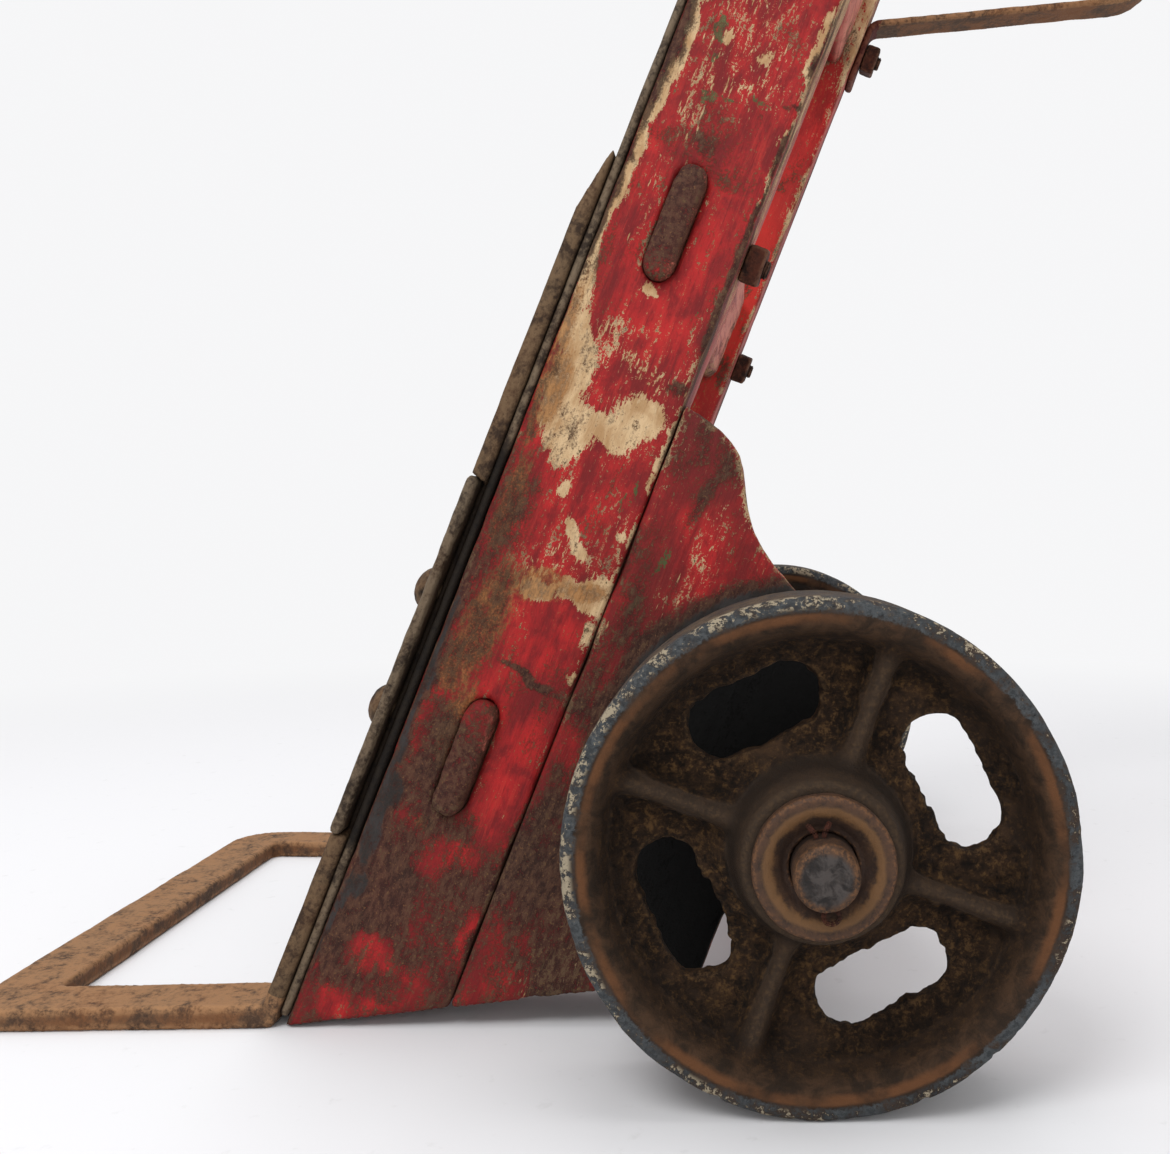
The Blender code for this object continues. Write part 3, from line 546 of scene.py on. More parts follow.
def cast_wheel():
    """Gritty dark casting: from the rim inwards, the last slate paint, a smooth rusty lip and caked dirt, with
    painted shade in the recess and creases and a painted highlight on the rib tops.
    """
    look = Look("cast_iron")
    edge, near, cake, kept = look.stored("form")
    radius = look.radius((1, 1, 0))
    high = look.math("ABSOLUTE", look.axes()[2])
    broad = look.noise(0.03, 4, 0.6, shift=2.4)
    patch = look.noise(0.009, 5, 0.68, shift=5.8, bend=0.5)
    fine = look.noise(0.0022, 5, 0.75, shift=1.1)
    lumps = look.noise(0.0042, 6, 0.75, shift=6.6, bend=0.4)
    rough_edge = look.add(radius, look.swing(patch, 0.006), look.swing(fine, 0.005))
    colour = look.tones(patch, (36, 25, 17), (62, 44, 29), 0.35, 0.65)
    colour = look.cover(colour, look.fade(fine, 0.5, 0.68), 0.55, (96, 70, 42))
    caked = look.fade(cake, 0.0, 0.4)
    crumbs = look.times(caked, look.fade(look.add(lumps, look.times(fine, 0.5)), 0.76, 0.92))
    colour = look.cover(colour, crumbs, 0.75, (106, 78, 47))
    holes = look.times(caked, look.fade(look.add(lumps, look.times(fine, 0.5)), 0.72, 0.6))
    colour = look.cover(colour, holes, 0.85, (17, 12, 8))
    # Painted highlight: the rib tops are lighter, and smoother.
    ridge = look.times(look.fade(high, 0.01, 0.0135), look.fade(radius, 0.084, 0.079))
    colour = look.cover(colour, ridge, 0.6, (58, 46, 36))
    # Painted shade: the recess is darker towards the rim's inner corner.
    corner = look.times(look.fade(radius, 0.072, 0.0835), look.fade(high, 0.024, 0.012))
    colour = look.cover(colour, corner, 0.45, (24, 16, 11))
    lip = look.times(look.fade(rough_edge, 0.0845, 0.0865), look.fade(high, 0.018, 0.023))
    smooth_rust = look.tones(patch, (44, 33, 24), (72, 52, 37), 0.36, 0.64)
    colour = look.cover(colour, lip, 0.85, smooth_rust)
    smooth_edge = look.add(radius, look.swing(patch, 0.002))
    line = look.times(look.fade(smooth_edge, 0.09, 0.0925), look.fade(smooth_edge, 0.0955, 0.094))
    colour = look.mix(look.times(line, look.fade(broad, 0.35, 0.6)), colour, (98, 64, 40))
    outer = look.fade(rough_edge, 0.0948, 0.0962)
    colour = look.mix(outer, colour, look.tones(patch, (34, 30, 28), (60, 48, 40)))
    kept_paint = look.fade(look.add(patch, look.times(fine, 0.7), look.times(broad, 0.5)), 1.22, 1.02)
    paint = look.times(outer, kept_paint)
    colour = look.cover(colour, paint, 0.8, look.tones(fine, (54, 58, 61), (84, 88, 90)))
    flakes = look.add(fine, look.times(patch, 0.7), look.times(broad, 0.5), look.times(kept, 0.07))
    flakes = look.fade(flakes, 1.19, 1.24)
    tread = look.times(look.fade(radius, 0.1009, 0.1014), look.fade(high, 0.026, 0.022))
    flakes = look.times(flakes, look.add(1.0, look.times(tread, -0.7)))
    colour = look.mix(look.times(flakes, look.fade(radius, 0.0958, 0.0985)), colour, (158, 146, 124))
    colour = look.cover(colour, tread, 0.55, look.tones(patch, (58, 46, 37), (92, 76, 60)))
    bitten = look.times(outer, look.fade(look.add(fine, look.times(lumps, 0.8)), 0.76, 0.68))
    colour = look.cover(colour, bitten, 0.8, (24, 21, 19))
    hub = look.times(look.fade(radius, 0.0365, 0.034), look.fade(high, 0.028, 0.032))
    colour = look.cover(colour, hub, 0.4, (54, 42, 31))
    foot = look.times(look.fade(radius, 0.0325, 0.0345), look.fade(radius, 0.04, 0.036))
    colour = look.cover(colour, foot, 0.6, (24, 17, 12))
    rubbed = look.times(look.fade(edge, 0.55, 0.75), look.fade(fine, 0.42, 0.6))
    rubbed = look.times(rubbed, look.fade(radius, 0.094, 0.088))
    colour = look.cover(colour, rubbed, 0.35, (112, 88, 62))
    colour = look.cover(colour, look.fade(near, 0.5, 1.0), 0.6, (22, 17, 14))
    # Painted shade: darker in the creases, where the surface is concave.
    colour = look.cover(colour, look.fade(edge, 0.47, 0.25), 0.75, (17, 12, 9))
    roughness = look.add(0.66, look.times(fine, 0.3), look.times(paint, -0.15), look.times(ridge, -0.08))
    clods = look.times(look.times(lumps, 3.2), caked)
    coarse = look.add(clods, look.times(fine, 0.8), look.times(patch, 0.6))
    normal = look.bump(coarse, 0.0015, 0.85)
    return look.finished(colour, roughness, normal, 0.08)


def axle_steel():
    """Turned steel on the axle: rust in rings round a rubbed blue-grey end."""
    look = Look("axle_steel")
    edge, near, _, _ = look.stored("form")
    radius = look.radius((0, 1, 1))
    patch = look.noise(0.006, 5, 0.65, shift=2.7, bend=0.4)
    fine = look.noise(0.0016, 4, 0.7, shift=7.1)
    wavy = look.add(radius, look.swing(patch, 0.004))
    colour = look.tones(patch, (46, 34, 27), (76, 54, 38), 0.35, 0.65)
    colour = look.cover(colour, look.fade(fine, 0.48, 0.68), 0.4, (106, 75, 48))
    ring = look.times(look.fade(wavy, 0.0188, 0.0205), look.fade(wavy, 0.024, 0.0224))
    colour = look.cover(colour, ring, 0.6, (118, 84, 50))
    colour = look.cover(colour, look.fade(wavy, 0.0236, 0.0252), 0.5, (72, 50, 38))
    inner = look.times(look.fade(wavy, 0.0195, 0.017), look.fade(radius, 0.0122, 0.013))
    colour = look.cover(colour, inner, 0.75, (52, 38, 32))
    core = look.fade(wavy, 0.0112, 0.0084)
    colour = look.cover(colour, core, 0.85, look.tones(patch, (38, 37, 37), (74, 71, 70), 0.4, 0.62))
    rubbed = look.times(look.fade(edge, 0.56, 0.8), look.fade(fine, 0.42, 0.6))
    colour = look.cover(colour, rubbed, 0.4, (128, 88, 56))
    colour = look.cover(colour, look.fade(near, 0.55, 1.0), 0.75, (22, 16, 14))
    roughness = look.add(0.45, look.times(fine, 0.35))
    normal = look.bump(look.add(patch, look.times(fine, 0.8)), 0.0008, 0.5)
    return look.finished(colour, roughness, normal, look.add(0.25, look.times(core, 0.3)), 0.3)


RAIL_PAINT = painted_wood("painted_wood", 2)
BAR_PAINT = painted_wood("painted_crossbar", 0)
STRAP_IRON = rusted(
    "strap_iron", ((48, 38, 30), (66, 52, 41), (94, 78, 62), (92, 64, 42), (128, 112, 92)), 0.3
)
FORGED_IRON = rusted(
    "forged_iron", ((72, 54, 42), (90, 69, 53), (112, 88, 69), (130, 84, 50), (164, 124, 88)), 0.6
)
UPRIGHT_IRON = rusted(
    "upright_iron", ((54, 40, 30), (70, 53, 39), (88, 69, 51), (98, 66, 42), (118, 96, 72)), 0.45
)
PAINTED_IRON = rusted(
    "painted_iron", ((62, 24, 22), (88, 32, 28), (112, 58, 44), (104, 50, 36), (120, 78, 60)), 0.4
)
FASTENER = rusted(
    "fastener_rust", ((40, 25, 20), (66, 38, 29), (92, 58, 42), (98, 50, 35), (118, 86, 66)), 0.5, 0.6
)
CAST_IRON = cast_wheel()
AXLE_STEEL = axle_steel()


# --- Wooden pieces ---


def blob(points, y, z, half_y, half_z, turn=0.0):
    """A soft patch on the rail frame's side faces: 1 at its middle, fading to 0 past its half sizes."""
    angle = math.radians(turn)
    dy, dz = points[:, 1] * 1000 - y, points[:, 2] * 1000 - z
    across = (dy * math.cos(angle) + dz * math.sin(angle)) / half_y
    along = (dz * math.cos(angle) - dy * math.sin(angle)) / half_z
    return unit(1.35 - 0.85 * (across**2 + along**2))


def blobs(points, patches):
    return np.max([blob(points, *patch) for patch in patches], axis=0)


# Patches on the left rail's outer face: place from front to back and up the rail, half sizes, then a turn and
# a strength where there are any, in millimetres and degrees in the rail frame.
BARE = [
    # The big primer patch
    (21, 303, 14, 15, -25), (38, 311, 20, 10, 20), (13, 322, 10, 20), (9, 342, 7, 16, 4),
    (48, 322, 10, 9, 10), (57, 322, 5, 9), (5, 372, 4, 16, 4),
    # The strip up the front edge
    (2, 390, 2.4, 18, 2), (3.4, 416, 2.6, 18, 3), (3.2, 440, 2.6, 20, 2), (5, 466, 2.6, 18, 4),
    (6.4, 494, 2.6, 20, 3), (7.4, 530, 2.6, 26, 2), (8, 600, 3, 60), (8, 700, 2.6, 60),
    # The back edge
    (65.8, 450, 0.9, 30), (65, 507, 1.8, 26), (65.4, 590, 1.5, 60), (66.6, 312, 1, 28), (67, 262, 0.7, 40),
    # The band below
    (56, 234, 12, 7.5, 19), (36, 230, 10, 6, 15), (65, 217, 2, 6), (31, 278, 2.2, 5, -10),
    (40, 263, 3, 6, 35), (47, 255, 6, 4, -35), (62, 268, 2, 3), (63, 199, 1.5, 2.5), (33, 378, 5, 1.8),
    (43.5, 493, 3.5, 1.8, -20), (25, 501, 2, 3),
]
FLECKED = [
    (24, 350, 10, 18, 0.36), (46, 340, 18, 7, 0.36), (26, 232, 18, 10, 19, 0.34), (55, 262, 10, 26, 0.22),
    (62, 350, 4, 40, 0.22), (22, 468, 7, 26, 3, 0.34), (34, 500, 26, 44, 0.25), (16, 420, 5, 40, 0.22),
    (33, 600, 34, 70, 0.18), (33, 300, 34, 60, 0.14), (20, 236, 10, 10, 0.3), (45, 250, 20, 14, 0.26),
]
RUSTED = [
    (4, 330, 4, 42, 2), (9, 318, 6, 20), (17, 206, 10, 32, -4), (9, 262, 6, 24), (22, 156, 7, 24),
    (26, 111, 5, 4), (34, 232, 16, 8, 17), (56, 236, 10, 5, 19), (12, 180, 8, 10),
]
SLATE = [(2.5, 160, 4, 80), (4.5, 105, 6.5, 30), (8, 118, 7, 12), (2, 60, 2.5, 34), (7, 76, 6, 9)]
# (3, 270) darkens the front edge above the cross plate as painted shade of the gap there.
DIRT_AND_SHADE = [
    (14, 200, 14, 66, 0.62), (20, 140, 15, 36, 0.8), (10, 262, 9, 30, 0.55), (14, 95, 15, 16, 0.75),
    (3, 270, 3.5, 60, 0.7), (0.8, 420, 1.8, 50, 1, 1.0), (1.6, 475, 2.4, 40, 2, 1.0),
    (2.4, 540, 3.4, 70, 1, 1.0), (2.4, 650, 3.8, 90, 0.9), (67, 430, 1.4, 110, 1.0),
    (45, 190.5, 17, 2, -5, 1.0), (34, 34, 14, 9, 0.78), (60, 46, 9, 14, 0.7), (52, 90, 15, 10, 0.66),
    (28, 72, 16, 9, 0.6), (45, 18, 20, 9, 0.75), (8, 40, 8, 12, 0.75), (13, 57, 11, 1.3, -24, 1.0),
    (26, 448, 24, 7, 18, 0.55), (48, 440, 20, 12, 0.42), (44, 462, 20, 12, 0.35), (66, 385, 1.8, 34, 0.85),
    (62, 339, 5, 2.5, 20, 0.85), (63, 480, 6, 1.6, 10, 0.95), (30, 520, 30, 40, 0.25),
    (55, 285, 10, 20, 0.25),
]
CLEAN = [
    (17, 21, 9, 8, -20), (24, 47, 11, 8), (40, 101, 15, 8, 20), (62, 68, 3, 9), (54, 145, 10, 30),
    (50, 205, 13, 12), (38, 270, 20, 14, 20), (45, 375, 16, 26), (19, 400, 9, 20),
]
GREEN = [
    (21, 503, 3, 7, 20), (21, 488, 3, 4), (25, 468, 4, 4), (34, 468, 6, 2), (47, 475, 5, 2),
    (58, 373, 2, 2), (60, 290, 2, 6), (56, 283, 2, 4),
]


CROSSBARS = (146, 409, 640, 940)  # their middles up the rails, in millimetres


def facing(normals, axis, sign):
    return unit(normals[:, axis] * sign * 2 - 0.6)


def shaded(points, patches):
    """Like blobs, but each patch's last number is its strength."""
    return np.max([strength * blob(points, *patch) for *patch, strength in patches], axis=0)


def rail_marks(side, sign, points, normals):
    """How bare, dirty, green and deep red a rail is at each point; the deep red beside the crossbars on the inner
    faces, and some of the dirt, are painted shade.
    """
    mm = points * 1000
    outer, inner = facing(normals, 0, sign), facing(normals, 0, -sign)
    front, back = facing(normals, 1, -1), facing(normals, 1, 1)
    low = unit((215 - mm[:, 2]) / 150)
    worn = unit(noise(points, (0.03, 0.03, 0.12), 5 + sign, 2))
    bare = 0.06 + 0.55 * worn
    dirt = 0.1 + 0.5 * low + 0.5 * front
    green = 0.6 * unit(noise(points, (0.02, 0.02, 0.03), 31 + sign) - 0.55)
    deep_red_and_shade = 0.3 + 0.35 * noise(points, (0.05, 0.05, 0.09), 12 + sign, 2)
    # Hands have polished the grips to bare wood.
    grip = unit((mm[:, 2] - 1165) / 30)
    bare = bare * (1 - grip) + 2 * grip
    dirt = dirt + 0.15 * grip
    if side == "left":
        plain = unit((mm[:, 2] - 600) / 100)
        bent = points.copy()
        bent[:, 1] += 0.0022 * noise(points, 0.012, 201, 3)
        bent[:, 2] += 0.0045 * noise(points, 0.014, 203, 3)
        bare = bare * (1 - outer) + outer * (0.02 + plain * (bare - 0.02))
        bare = np.maximum(bare, outer * 0.95 * blobs(bent, BARE))
        bare = np.maximum(bare, outer * shaded(bent, FLECKED))
        muddy = 0.62 + 0.45 * noise(points, (0.016, 0.016, 0.024), 205, 3)
        dirt = dirt * (1 - outer) + outer * (0.08 + low * muddy)
        clean = outer * blobs(bent, CLEAN)
        deep_red_and_shade = deep_red_and_shade * (1 - clean)
        dirt = dirt * (1 - 0.7 * clean)
        dirt = np.maximum(dirt, outer * shaded(bent, DIRT_AND_SHADE))
        dirt = np.maximum(dirt, outer * 1.4 * blobs(bent, SLATE))
        green = np.maximum(green * (1 - outer), outer * 0.7 * blobs(bent, GREEN))
    # Painted shade on the inner faces beside the crossbars, laid as deep red.
    beside = np.max([unit(1.6 - np.abs(mm[:, 2] - bar) / 40) for bar in CROSSBARS], axis=0)
    deep_red_and_shade = deep_red_and_shade * (1 - 0.8 * inner) + 0.8 * inner * beside
    dirt = dirt * (1 - 0.5 * inner * unit((mm[:, 2] - 300) / 60))
    bare = bare + 0.2 * inner * unit((mm[:, 1] - 62) / 4) * unit((mm[:, 2] - 250) / 60)
    dirt = dirt + 0.6 * back * unit(1 - np.abs(np.abs(points[:, 0]) - 0.152) / 0.013)
    return np.clip(bare, 0, 2), np.clip(dirt, 0, 2), green, unit(deep_red_and_shade)


def rail_stains(side, sign):
    """Rust run out of the ironwork, chalky paint with painted sheen behind, and painted light (below 0) on the
    inner faces between the rails.
    """

    def stains(points, normals):
        front = facing(normals, 1, -1)
        rust = 0.35 * front + 0.25 * unit(noise(points, (0.03, 0.03, 0.08), 15 + sign, 2))
        if side == "left":
            outer = facing(normals, 0, 1)
            rust = rust * (1 - outer) + outer * 0.8 * blobs(points, RUSTED)
        chalk_and_painted_light = facing(normals, 1, 1) * unit((0.136 - np.abs(points[:, 0])) / 0.008)
        # Painted light: the inner faces between the rails are brighter red higher up.
        painted_light_between_rails = facing(normals, 0, -sign) * unit((points[:, 2] - 0.32) / 0.08)
        painted_light_between_rails *= unit(0.6 + 0.5 * noise(points, (0.03, 0.03, 0.12), 207 + sign, 3))
        return rust, 0.4 * chalk_and_painted_light - 0.9 * painted_light_between_rails

    return stains


def block_stains(sign):
    def stains(points, normals):
        rust = 0.3 * unit(noise(points, 0.05, 16 + sign, 2))
        # Chalky paint with painted sheen on the back faces.
        return rust, 0.25 * facing(normals, 1, 1)

    return stains


def bar_stains(points, normals):
    # Chalky paint and painted light on the crossbars' back faces.
    return 0.15 * unit(noise(points, 0.05, 19, 2)), 0.95 * facing(normals, 1, 1)


GRAIN_DENTS = (((0.03, 0.03, 0.2), 0.0003), ((0.004, 0.004, 0.08), 0.00016))
for side, sign in SIDES.items():
    node = f"rail_{side}"
    rail = remeshed(node_copy(node, RAIL), 0.002)
    chips = ((0.008, 0.008, 0.02), 0.001)
    points, normals = wear(rail, node, 3 + sign, 1, GRAIN_DENTS, chips, 0.002, rail_stains(side, sign))
    store(rail.data, "marks", rail_marks(side, sign, points, normals))
    finish(rail, node, RAIL_PAINT)

    node = f"axle_block_{side}"
    piece = remeshed(node_copy(node, RAIL), 0.0018)
    chips = ((0.008, 0.008, 0.02), 0.0014)
    points, normals = wear(piece, node, 23 + sign, 1, GRAIN_DENTS, chips, 0.002, block_stains(sign))
    mm = points * 1000
    outer = facing(normals, 0, sign)
    low = unit((200 - mm[:, 2] - 0.5 * (mm[:, 1] - 67)) / 90)
    curve = unit(normals[:, 1] * 1.5 - 0.2) * unit((mm[:, 2] - 225) / 20)
    bare = 0.08 + 0.34 * curve + 0.25 * unit(noise(points, (0.03, 0.03, 0.1), 41 + sign, 2))
    bare = np.maximum(bare, 0.45 * outer * blob(points, 70, 222, 2.5, 8))
    # Painted shade: the block's outer face behind each wheel is near black, as if in the wheel's shadow.
    shade_behind_wheel = unit((0.114 - np.hypot(points[:, 1] - 0.187, points[:, 2] - 0.182)) / 0.018)
    dirt = 0.34 + 0.5 * low + 0.25 * noise(points, (0.012, 0.012, 0.04), 61 + sign, 3)
    dirt = np.maximum(dirt, 0.85 * outer * blob(points, 92, 300, 3.5, 22, -12))
    dirt = np.maximum(dirt, 0.45 * outer * blob(points, 76, 215, 9, 26, 0))
    dirt = np.maximum(dirt, 2 * shade_behind_wheel * outer)
    green = 0.6 * outer * np.maximum(blob(points, 84, 262, 3, 10, -8), blob(points, 79, 240, 2, 7, -8))
    deep_red_and_shade = 0.85 + 0.3 * noise(points, 0.05, 51 + sign, 2)
    store(piece.data, "marks", (bare, np.clip(dirt, 0, 2), green, unit(deep_red_and_shade)))
    finish(piece, node, RAIL_PAINT)

for number in (1, 2, 3, 4):
    node = f"crossbar_{number}"
    piece = remeshed(node_copy(node, RAIL), 0.0018)
    dents = (((0.2, 0.03, 0.03), 0.0004), ((0.08, 0.004, 0.004), 0.0002))
    chips = ((0.02, 0.006, 0.006), 0.0014)
    points, normals = wear(piece, node, 60 + number, 2, dents, chips, 0.002, bar_stains)
    ends = unit((np.abs(points[:, 0]) - 0.158) / 0.004)
    bare = 0.06 + 0.5 * unit(noise(points, (0.1, 0.03, 0.03), 70 + number, 2))
    dirt = 0.2 + 0.66 * ends
    deep_red_and_shade = 0.4 + 0.4 * noise(points, 0.06, 80 + number, 2)
    tip = ends * unit(1 - np.abs(points[:, 2] - points[:, 2].min() - 0.006) / 0.008)
    marks = (bare * (1 - ends) + 0.22 * tip, dirt * (1 - 0.2 * tip), 0.2 * ends, unit(deep_red_and_shade))
    store(piece.data, "marks", marks)
    finish(piece, node, BAR_PAINT)


# --- Ironwork ---


def iron_piece(node, voxel, seed, rounding, dents, materials, extra=lambda points, normals: (0, 0)):
    piece = remeshed(node_copy(node, RAIL), voxel)
    wear(piece, node, seed, rounding, dents, (0.008, 0.0002), 0.0025, extra)
    finish(piece, node, *materials)


def strap_shadow(points, normals):
    """Painted shadow: near black in the gap behind the cross plate."""
    z = points[:, 2] * 1000
    return 0.92 * unit(np.minimum(z - 84, 290 - z) / 8), 0


def toe_shadow_and_dust(points, normals):
    """Painted shadow where the cross plate covers the uprights, and dust (below 0) on top of the nose."""
    z = points[:, 2] * 1000
    covered = unit(np.minimum(z - 90, 270 - z) / 3)
    covered = covered * unit((0.155 - np.abs(points[:, 0])) / 0.002)
    dust = unit((normals @ UP) * 2 - 1) * unit((14 - z) / 4 - points[:, 1] * 1000 / 10)
    return 0.85 * covered, -0.7 * dust


UP = np.array(RAIL.inverted())[:3, 2]
FORGED_DENTS = ((0.03, 0.0002), (0.007, 0.0001))
toe_irons = (FORGED_IRON, UPRIGHT_IRON, lambda place: place.z > 0.012 and place.y > -0.02)
iron_piece("toe_iron", 0.0016, 91, 1, FORGED_DENTS, toe_irons, toe_shadow_and_dust)
iron_piece("cross_plate", 0.0014, 92, 1, ((0.02, 0.0003), (0.005, 0.00018)), (STRAP_IRON,))
leg_irons = (FORGED_IRON, PAINTED_IRON, lambda place: place.y < 0.0745)
for side, sign in SIDES.items():
    iron_piece(f"front_strap_{side}", 0.0016, 93 + sign, 1, ((0.03, 0.00015),), (STRAP_IRON,), strap_shadow)
    iron_piece(f"leg_iron_{side}", 0.0012, 95 + sign, 1, ((0.02, 0.0003), (0.005, 0.00012)), leg_irons)


# --- Wheels ---

WHEEL_SECTION = [
    (0.034, 0.013), (0.034, 0.029), (0.0334, 0.0307), (0.0316, 0.0318), (0.025, 0.0328), (0.018, 0.0346),
    (0.0115, 0.0375), (0.0068, 0.0415), (0.0044, 0.047), (0.004, 0.076), (0.0052, 0.08), (0.01, 0.0835),
    (0.02, 0.0868), (0.025, 0.0888), (0.0272, 0.0908), (0.028, 0.093), (0.0281, 0.0985), (0.0277, 0.1003),
    (0.0262, 0.1013), (0.0215, 0.1018), (0.01, 0.1019), (0.0, 0.1019),
]
SPOKE_ANGLES = (70.4, 160.4, 250.4, 340.4)
SLOT_ANGLES = (25.4, 115.4, 205.4, 295.4)
WHEEL_RADIUS = 0.1016
HUB_FACE = 0.0339  # the most the hub reaches along the axle, clear of its washer and collar
WHEEL_VOXEL = 0.0014


def lofted(rings, angle):
    """A closed solid through rings of points, turned about the wheel's axis by so many degrees."""
    work = bmesh.new()
    rings = [[work.verts.new(place) for place in ring] for ring in rings]
    for lower, upper in zip(rings, rings[1:]):
        for index in range(len(lower)):
            after = (index + 1) % len(lower)
            work.faces.new((lower[index], lower[after], upper[after], upper[index]))
    work.faces.new(rings[0])
    work.faces.new(rings[-1])
    bmesh.ops.recalc_face_normals(work, faces=work.faces)
    turn = Matrix.Rotation(math.radians(angle), 3, "Z")
    bmesh.ops.rotate(work, cent=(0, 0, 0), matrix=turn, verts=work.verts)
    return work


def rib(angle):
    """One half-round rib on both faces of the web, wider where it runs into the hub and the rim."""
    rings = []
    steps, sides = 16, 20
    for step in range(steps + 1):
        share = step / steps
        reach = 0.028 + 0.062 * share
        flare = abs(2 * share - 1) ** 3
        half_width = 0.0062 + 0.004 * flare
        half_height = 0.016 + 0.0035 * flare
        turns = [math.tau * index / sides for index in range(sides)]
        rings.append([(reach, half_width * math.cos(t), half_height * math.sin(t)) for t in turns])
    return lofted(rings, angle)


def slot_cutter(angle, seed):
    """A slot's ragged outline as a prism through the web."""
    outline = []
    steps = 72
    for index in range(steps):
        t = math.tau * index / steps
        reach = 0.015 * min(1, abs(math.sin(t)) * 3)
        x, y = 0.014 * math.cos(t), 0.0136 * math.sin(t) + math.copysign(reach, math.sin(t))
        place = np.array([[x, y, seed * 0.1]])
        swell = 1 + 0.07 * noise(place, 0.008, seed, 3)[0]
        outline.append((0.06 + x * swell, y * (1 + (swell - 1) * 0.5)))
    return lofted([[(x, y, z) for x, y in outline] for z in (-0.014, 0.014)], angle)


def merged(parts, name):
    mesh = bpy.data.meshes.new(name)
    whole = bmesh.new()
    for part in parts:
        piece = bpy.data.meshes.new("part")
        part.to_mesh(piece)
        part.free()
        whole.from_mesh(piece)
        bpy.data.meshes.remove(piece)
    whole.to_mesh(mesh)
    whole.free()
    return new_object(name, mesh, WORLD)


for side, sign in SIDES.items():
    node = f"wheel_{side}"
    section = WHEEL_SECTION + [(-along, radius) for along, radius in WHEEL_SECTION[-2::-1]]
    disc = turned(node + "_disc", section, 144, WORLD, 0.004)
    disc.data.transform(Matrix.Rotation(-math.pi / 2, 4, "Y"))
    whole = bmesh.new()
    whole.from_mesh(disc.data)
    bpy.data.objects.remove(disc)
    wheel = merged([whole, *(rib(angle) for angle in SPOKE_ANGLES)], node + "_worn")
    slots = [slot_cutter(angle, index + 7 * sign) for index, angle in enumerate(SLOT_ANGLES)]
    cutters = merged(slots, node + "_slots")
    remeshed(wheel, WHEEL_VOXEL)
    cut = wheel.modifiers.new("Slots", "BOOLEAN")
    cut.operation = "DIFFERENCE"
    cut.object = cutters
    cut.solver = "EXACT"
    remeshed(wheel, WHEEL_VOXEL)
    bpy.data.objects.remove(cutters)
    wheel.matrix_world = WHEEL[side]
    mesh = wheel.data
    points = points_of(mesh)
    radius = np.hypot(points[:, 0], points[:, 1])
    web = unit((0.088 - radius) / 0.006) * unit((radius - 0.034) / 0.004)
    cluster = unit(noise(points, 0.022, 7 + sign, 2) + 0.55) * web
    cluster *= unit((0.0135 - np.abs(points[:, 2])) / 0.003)
    smoothed = relaxed(points, mesh, 3)
    set_points(mesh, smoothed)
    normals = normals_of(mesh)
    edge = np.clip(((smoothed - relaxed(smoothed, mesh, 10)) * normals).sum(axis=1) / 0.0014, -1, 1)
    moved = 0.0003 * noise(smoothed, 0.02, 71 + sign, 2) + 0.00014 * noise(smoothed, 0.004, 73, 2)
    moved += cluster * 0.002 * np.clip(noise(smoothed, 0.0048, 75 + sign, 2), -0.3, 1)
    chip = unit(noise(smoothed, 0.006, 79 + sign, 3) - 0.45)
    moved -= 0.0016 * chip * unit((radius - 0.099) / 0.001)
    smoothed = smoothed + normals * moved[:, None]
    smoothed[:, 2] = np.clip(smoothed[:, 2], -HUB_FACE, HUB_FACE)
    radius = np.maximum(np.hypot(smoothed[:, 0], smoothed[:, 1]), 1e-6)
    smoothed[:, :2] *= np.minimum(1, WHEEL_RADIUS / radius)[:, None]
    set_points(mesh, smoothed)
    turn = np.array(wheel.matrix_world)
    world = smoothed @ turn[:3, :3].T + turn[:3, 3]
    kept = (0.6 * smoothed[:, 1] - smoothed[:, 0]) / 0.1
    store(mesh, "form", (edge * 0.5 + 0.5, nearness(node, world, 0.004), cluster, kept))
    finish(wheel, node, CAST_IRON)


# --- Axle, washers, collars and cotter pins ---


def turned_piece(node, profile, steps, seed, height=0.0001):
    piece = turned(node + "_worn", profile, steps, AXLE)
    points, _ = wear(piece, node, seed, 1, ((0.008, height), (0.002, height * 0.5)), (0.004, 0.0003), 0.003)
    ends = [along for along, _ in profile]
    points[:, 0] = np.clip(points[:, 0], min(ends), max(ends))  # flat ends keep their gap to the next piece
    set_points(piece.data, points)
    finish(piece, node, AXLE_STEEL)


END = [(0.279, 0), (0.2789, 0.008), (0.2785, 0.0105), (0.2774, 0.0121), (0.2755, 0.0126), (0.264, 0.0127)]
turned_piece("axle", END + [(-along, radius) for along, radius in END[::-1]], 64, 101)
for side, sign in SIDES.items():
    washer = [(0.2573, 0.013), (0.2573, 0.0267), (0.258, 0.0275), (0.2628, 0.0275), (0.2638, 0.0268)]
    washer += [(0.264, 0.0245), (0.264, 0.0218), (0.2634, 0.0198), (0.2616, 0.0172), (0.26, 0.0152)]
    washer = [(sign * x, r) for x, r in (*washer, (0.2598, 0.013))]
    collar = [(0.1613, 0.013), (0.1613, 0.021), (0.1623, 0.022)]
    collar += [(0.35 - x, r) for x, r in collar[::-1]]
    collar = [(sign * x, r) for x, r in collar]
    turned_piece(f"outer_washer_{side}", washer, 96, 110 + sign, 0.00015)
    turned_piece(f"inner_collar_{side}", collar, 72, 112 + sign, 0.00015)
    node = f"cotter_pin_{side}"
    pin = node_copy(node, AXLE)
    finer = pin.modifiers.new("Finer", "SUBSURF")
    finer.levels = finer.render_levels = 2
    mesh = evaluated_mesh(pin)
    pin.modifiers.clear()
    pin.data = mesh
    wear(pin, node, 120 + sign, 0, ((0.003, 0.0001),), (0.004, 0.0), 0.002)
    finish(pin, node, FASTENER)


# --- Bolts and nuts ---


BOLT_RADIUS = 0.0047


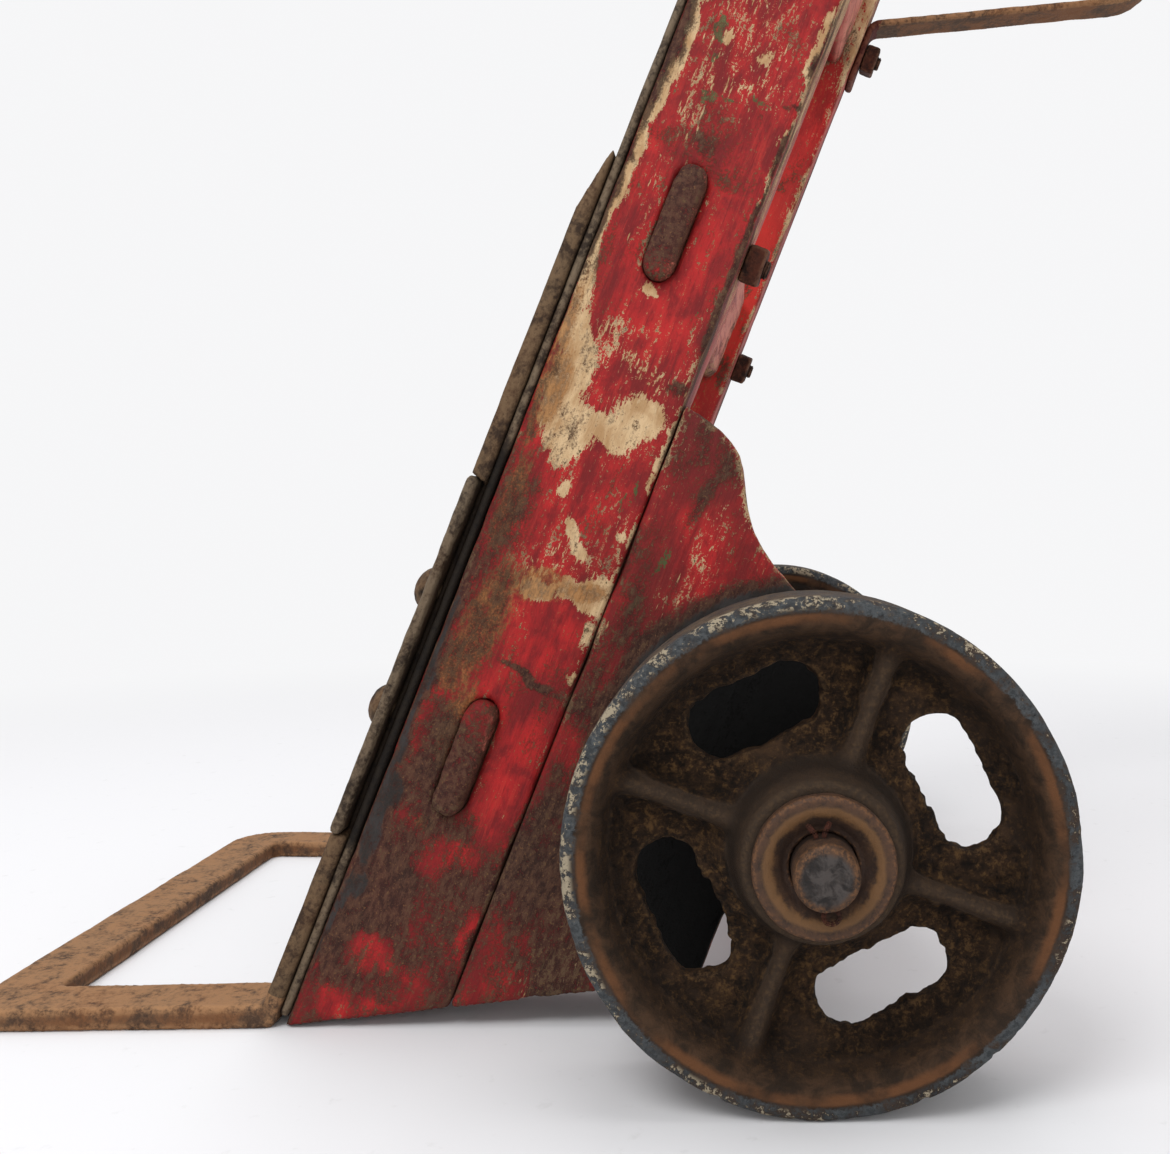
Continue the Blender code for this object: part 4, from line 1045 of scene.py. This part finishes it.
def thread(obj, start, pitch=0.00127, depth=0.0006):
    """Cuts a screw thread into a turned bolt beyond start, along its local X."""
    points = points_of(obj.data)
    angle = np.arctan2(points[:, 2], points[:, 1]) / math.tau
    phase = (points[:, 0] / pitch + angle) % 1
    on_thread = (points[:, 0] > start) * (np.hypot(points[:, 1], points[:, 2]) > 0.003)
    cut = depth * (1 - np.abs(2 * phase - 1)) * on_thread
    points[:, 1:] *= 1 - cut[:, None] / BOLT_RADIUS
    set_points(obj.data, points)


for node in [name for name in NODES if name.startswith("bolt_")]:
    inverse = RAIL.inverted()
    local = np.array([inverse @ vert.co for vert in NODES[node].data.vertices])
    low, high = local.min(axis=0), local.max(axis=0)
    middle = (low + high) / 2
    length = high[1] - low[1]
    matrix = RAIL @ Matrix.Translation((middle[0], low[1], middle[2])) @ Matrix.Rotation(math.pi / 2, 4, "Z")
    if high[0] - low[0] > 0.012:
        profile = [(0, 0), (0.0003, 0.003), (0.0012, 0.0058), (0.0026, 0.0079), (0.0042, 0.0094)]
        profile += [(0.0058, 0.0103), (0.0066, 0.0105), (0.0068, 0.0102), (0.0068, BOLT_RADIUS)]
    else:
        profile = [(0, 0), (0.0002, 0.0038), (0.001, BOLT_RADIUS)]
    profile += [(length - 0.019, BOLT_RADIUS), (length - 0.0008, BOLT_RADIUS), (length, 0.0038), (length, 0)]
    bolt = turned(node + "_worn", profile, 36, matrix, 0.00042)
    thread(bolt, length - 0.018)
    wear(bolt, node, 130 + len(node), 0, ((0.004, 0.00012),), (0.004, 0.0), 0.003)
    finish(bolt, node, UPRIGHT_IRON if "plate" in node else FASTENER)

for index, node in enumerate(sorted(name for name in NODES if name.startswith("nut_"))):
    iron_piece(node, 0.0006, 150 + index, 3, ((0.006, 0.0002), (0.002, 0.0001)), (FASTENER,))


# --- Floor, light and camera ---

BACKDROP = (0.925, 0.925, 0.935)
AMBIENT = 0.72


def floor_material():
    """Pale floor that fades into the backdrop with distance from the truck."""
    look = Look("studio_floor")
    look.place = look.node("ShaderNodeTexCoord").outputs["Object"]
    far = look.fade(look.radius((1, 1, 0)), 0.6, 1.6)
    speck = look.noise(0.012, 4, 0.6)
    colour = look.mix(look.fade(speck, 0.62, 0.75), (0.775, 0.775, 0.79), (0.72, 0.72, 0.73))
    normal = look.bump(look.noise(0.2, 2), 0.002, 0.2)
    look.finished(colour, 0.75, normal)
    glow = look.node("ShaderNodeEmission")
    glow.inputs["Color"].default_value = (*BACKDROP, 1)
    blend = look.node("ShaderNodeMixShader")
    look.put(blend.inputs[0], far)
    look.put(blend.inputs[1], look.shader.outputs[0])
    look.put(blend.inputs[2], glow.outputs[0])
    look.put(look.tree.nodes["Material Output"].inputs["Surface"], blend.outputs[0])
    return look.material


floor_mesh = bpy.data.meshes.new("studio_floor")
work = bmesh.new()
bmesh.ops.create_circle(work, cap_ends=True, segments=96, radius=14)
work.to_mesh(floor_mesh)
work.free()
floor_mesh.materials.append(floor_material())
new_object("studio_floor", floor_mesh, WORLD)

world = bpy.data.worlds.new("studio")
world.use_nodes = True
tree = world.node_tree
background = tree.nodes["Background"]
background.inputs["Color"].default_value = (*BACKDROP, 1)
seen = tree.nodes.new("ShaderNodeLightPath").outputs["Is Camera Ray"]
strength = tree.nodes.new("ShaderNodeMapRange")
strength.inputs["To Min"].default_value = AMBIENT
tree.links.new(seen, strength.inputs["Value"])
tree.links.new(strength.outputs["Result"], background.inputs["Strength"])
bpy.context.scene.world = world


def add_lamp(name, place, aim, size, power):
    lamp = bpy.data.lights.new(name, "AREA")
    lamp.shape = "DISK"
    lamp.size = size
    lamp.energy = power
    obj = bpy.data.objects.new(name, lamp)
    bpy.context.scene.collection.objects.link(obj)
    obj.location = place
    obj.rotation_euler = (Vector(aim) - Vector(place)).to_track_quat("-Z", "Y").to_euler()


add_lamp("key", (1.7, -1.0, 2.5), (0, 0, 0.3), 1.4, 38)
add_lamp("top", (-0.2, 0.3, 3.0), (0, 0, 0.3), 2.2, 36)
add_lamp("fill", (1.9, 0.35, 0.55), (0, 0, 0.2), 1.2, 5)

camera = bpy.data.cameras.new("camera")
camera.lens = 37.14
camera.shift_x = -0.128
camera.shift_y = -0.036
camera.clip_start = 0.05
eye = bpy.data.objects.new("camera", camera)
bpy.context.scene.collection.objects.link(eye)
eye.location = (0.715, -0.0145, 0.2267)
eye.rotation_euler = (math.pi / 2, 0, math.pi / 2)
bpy.context.scene.camera = eye
bpy.context.scene.view_settings.view_transform = "Standard"
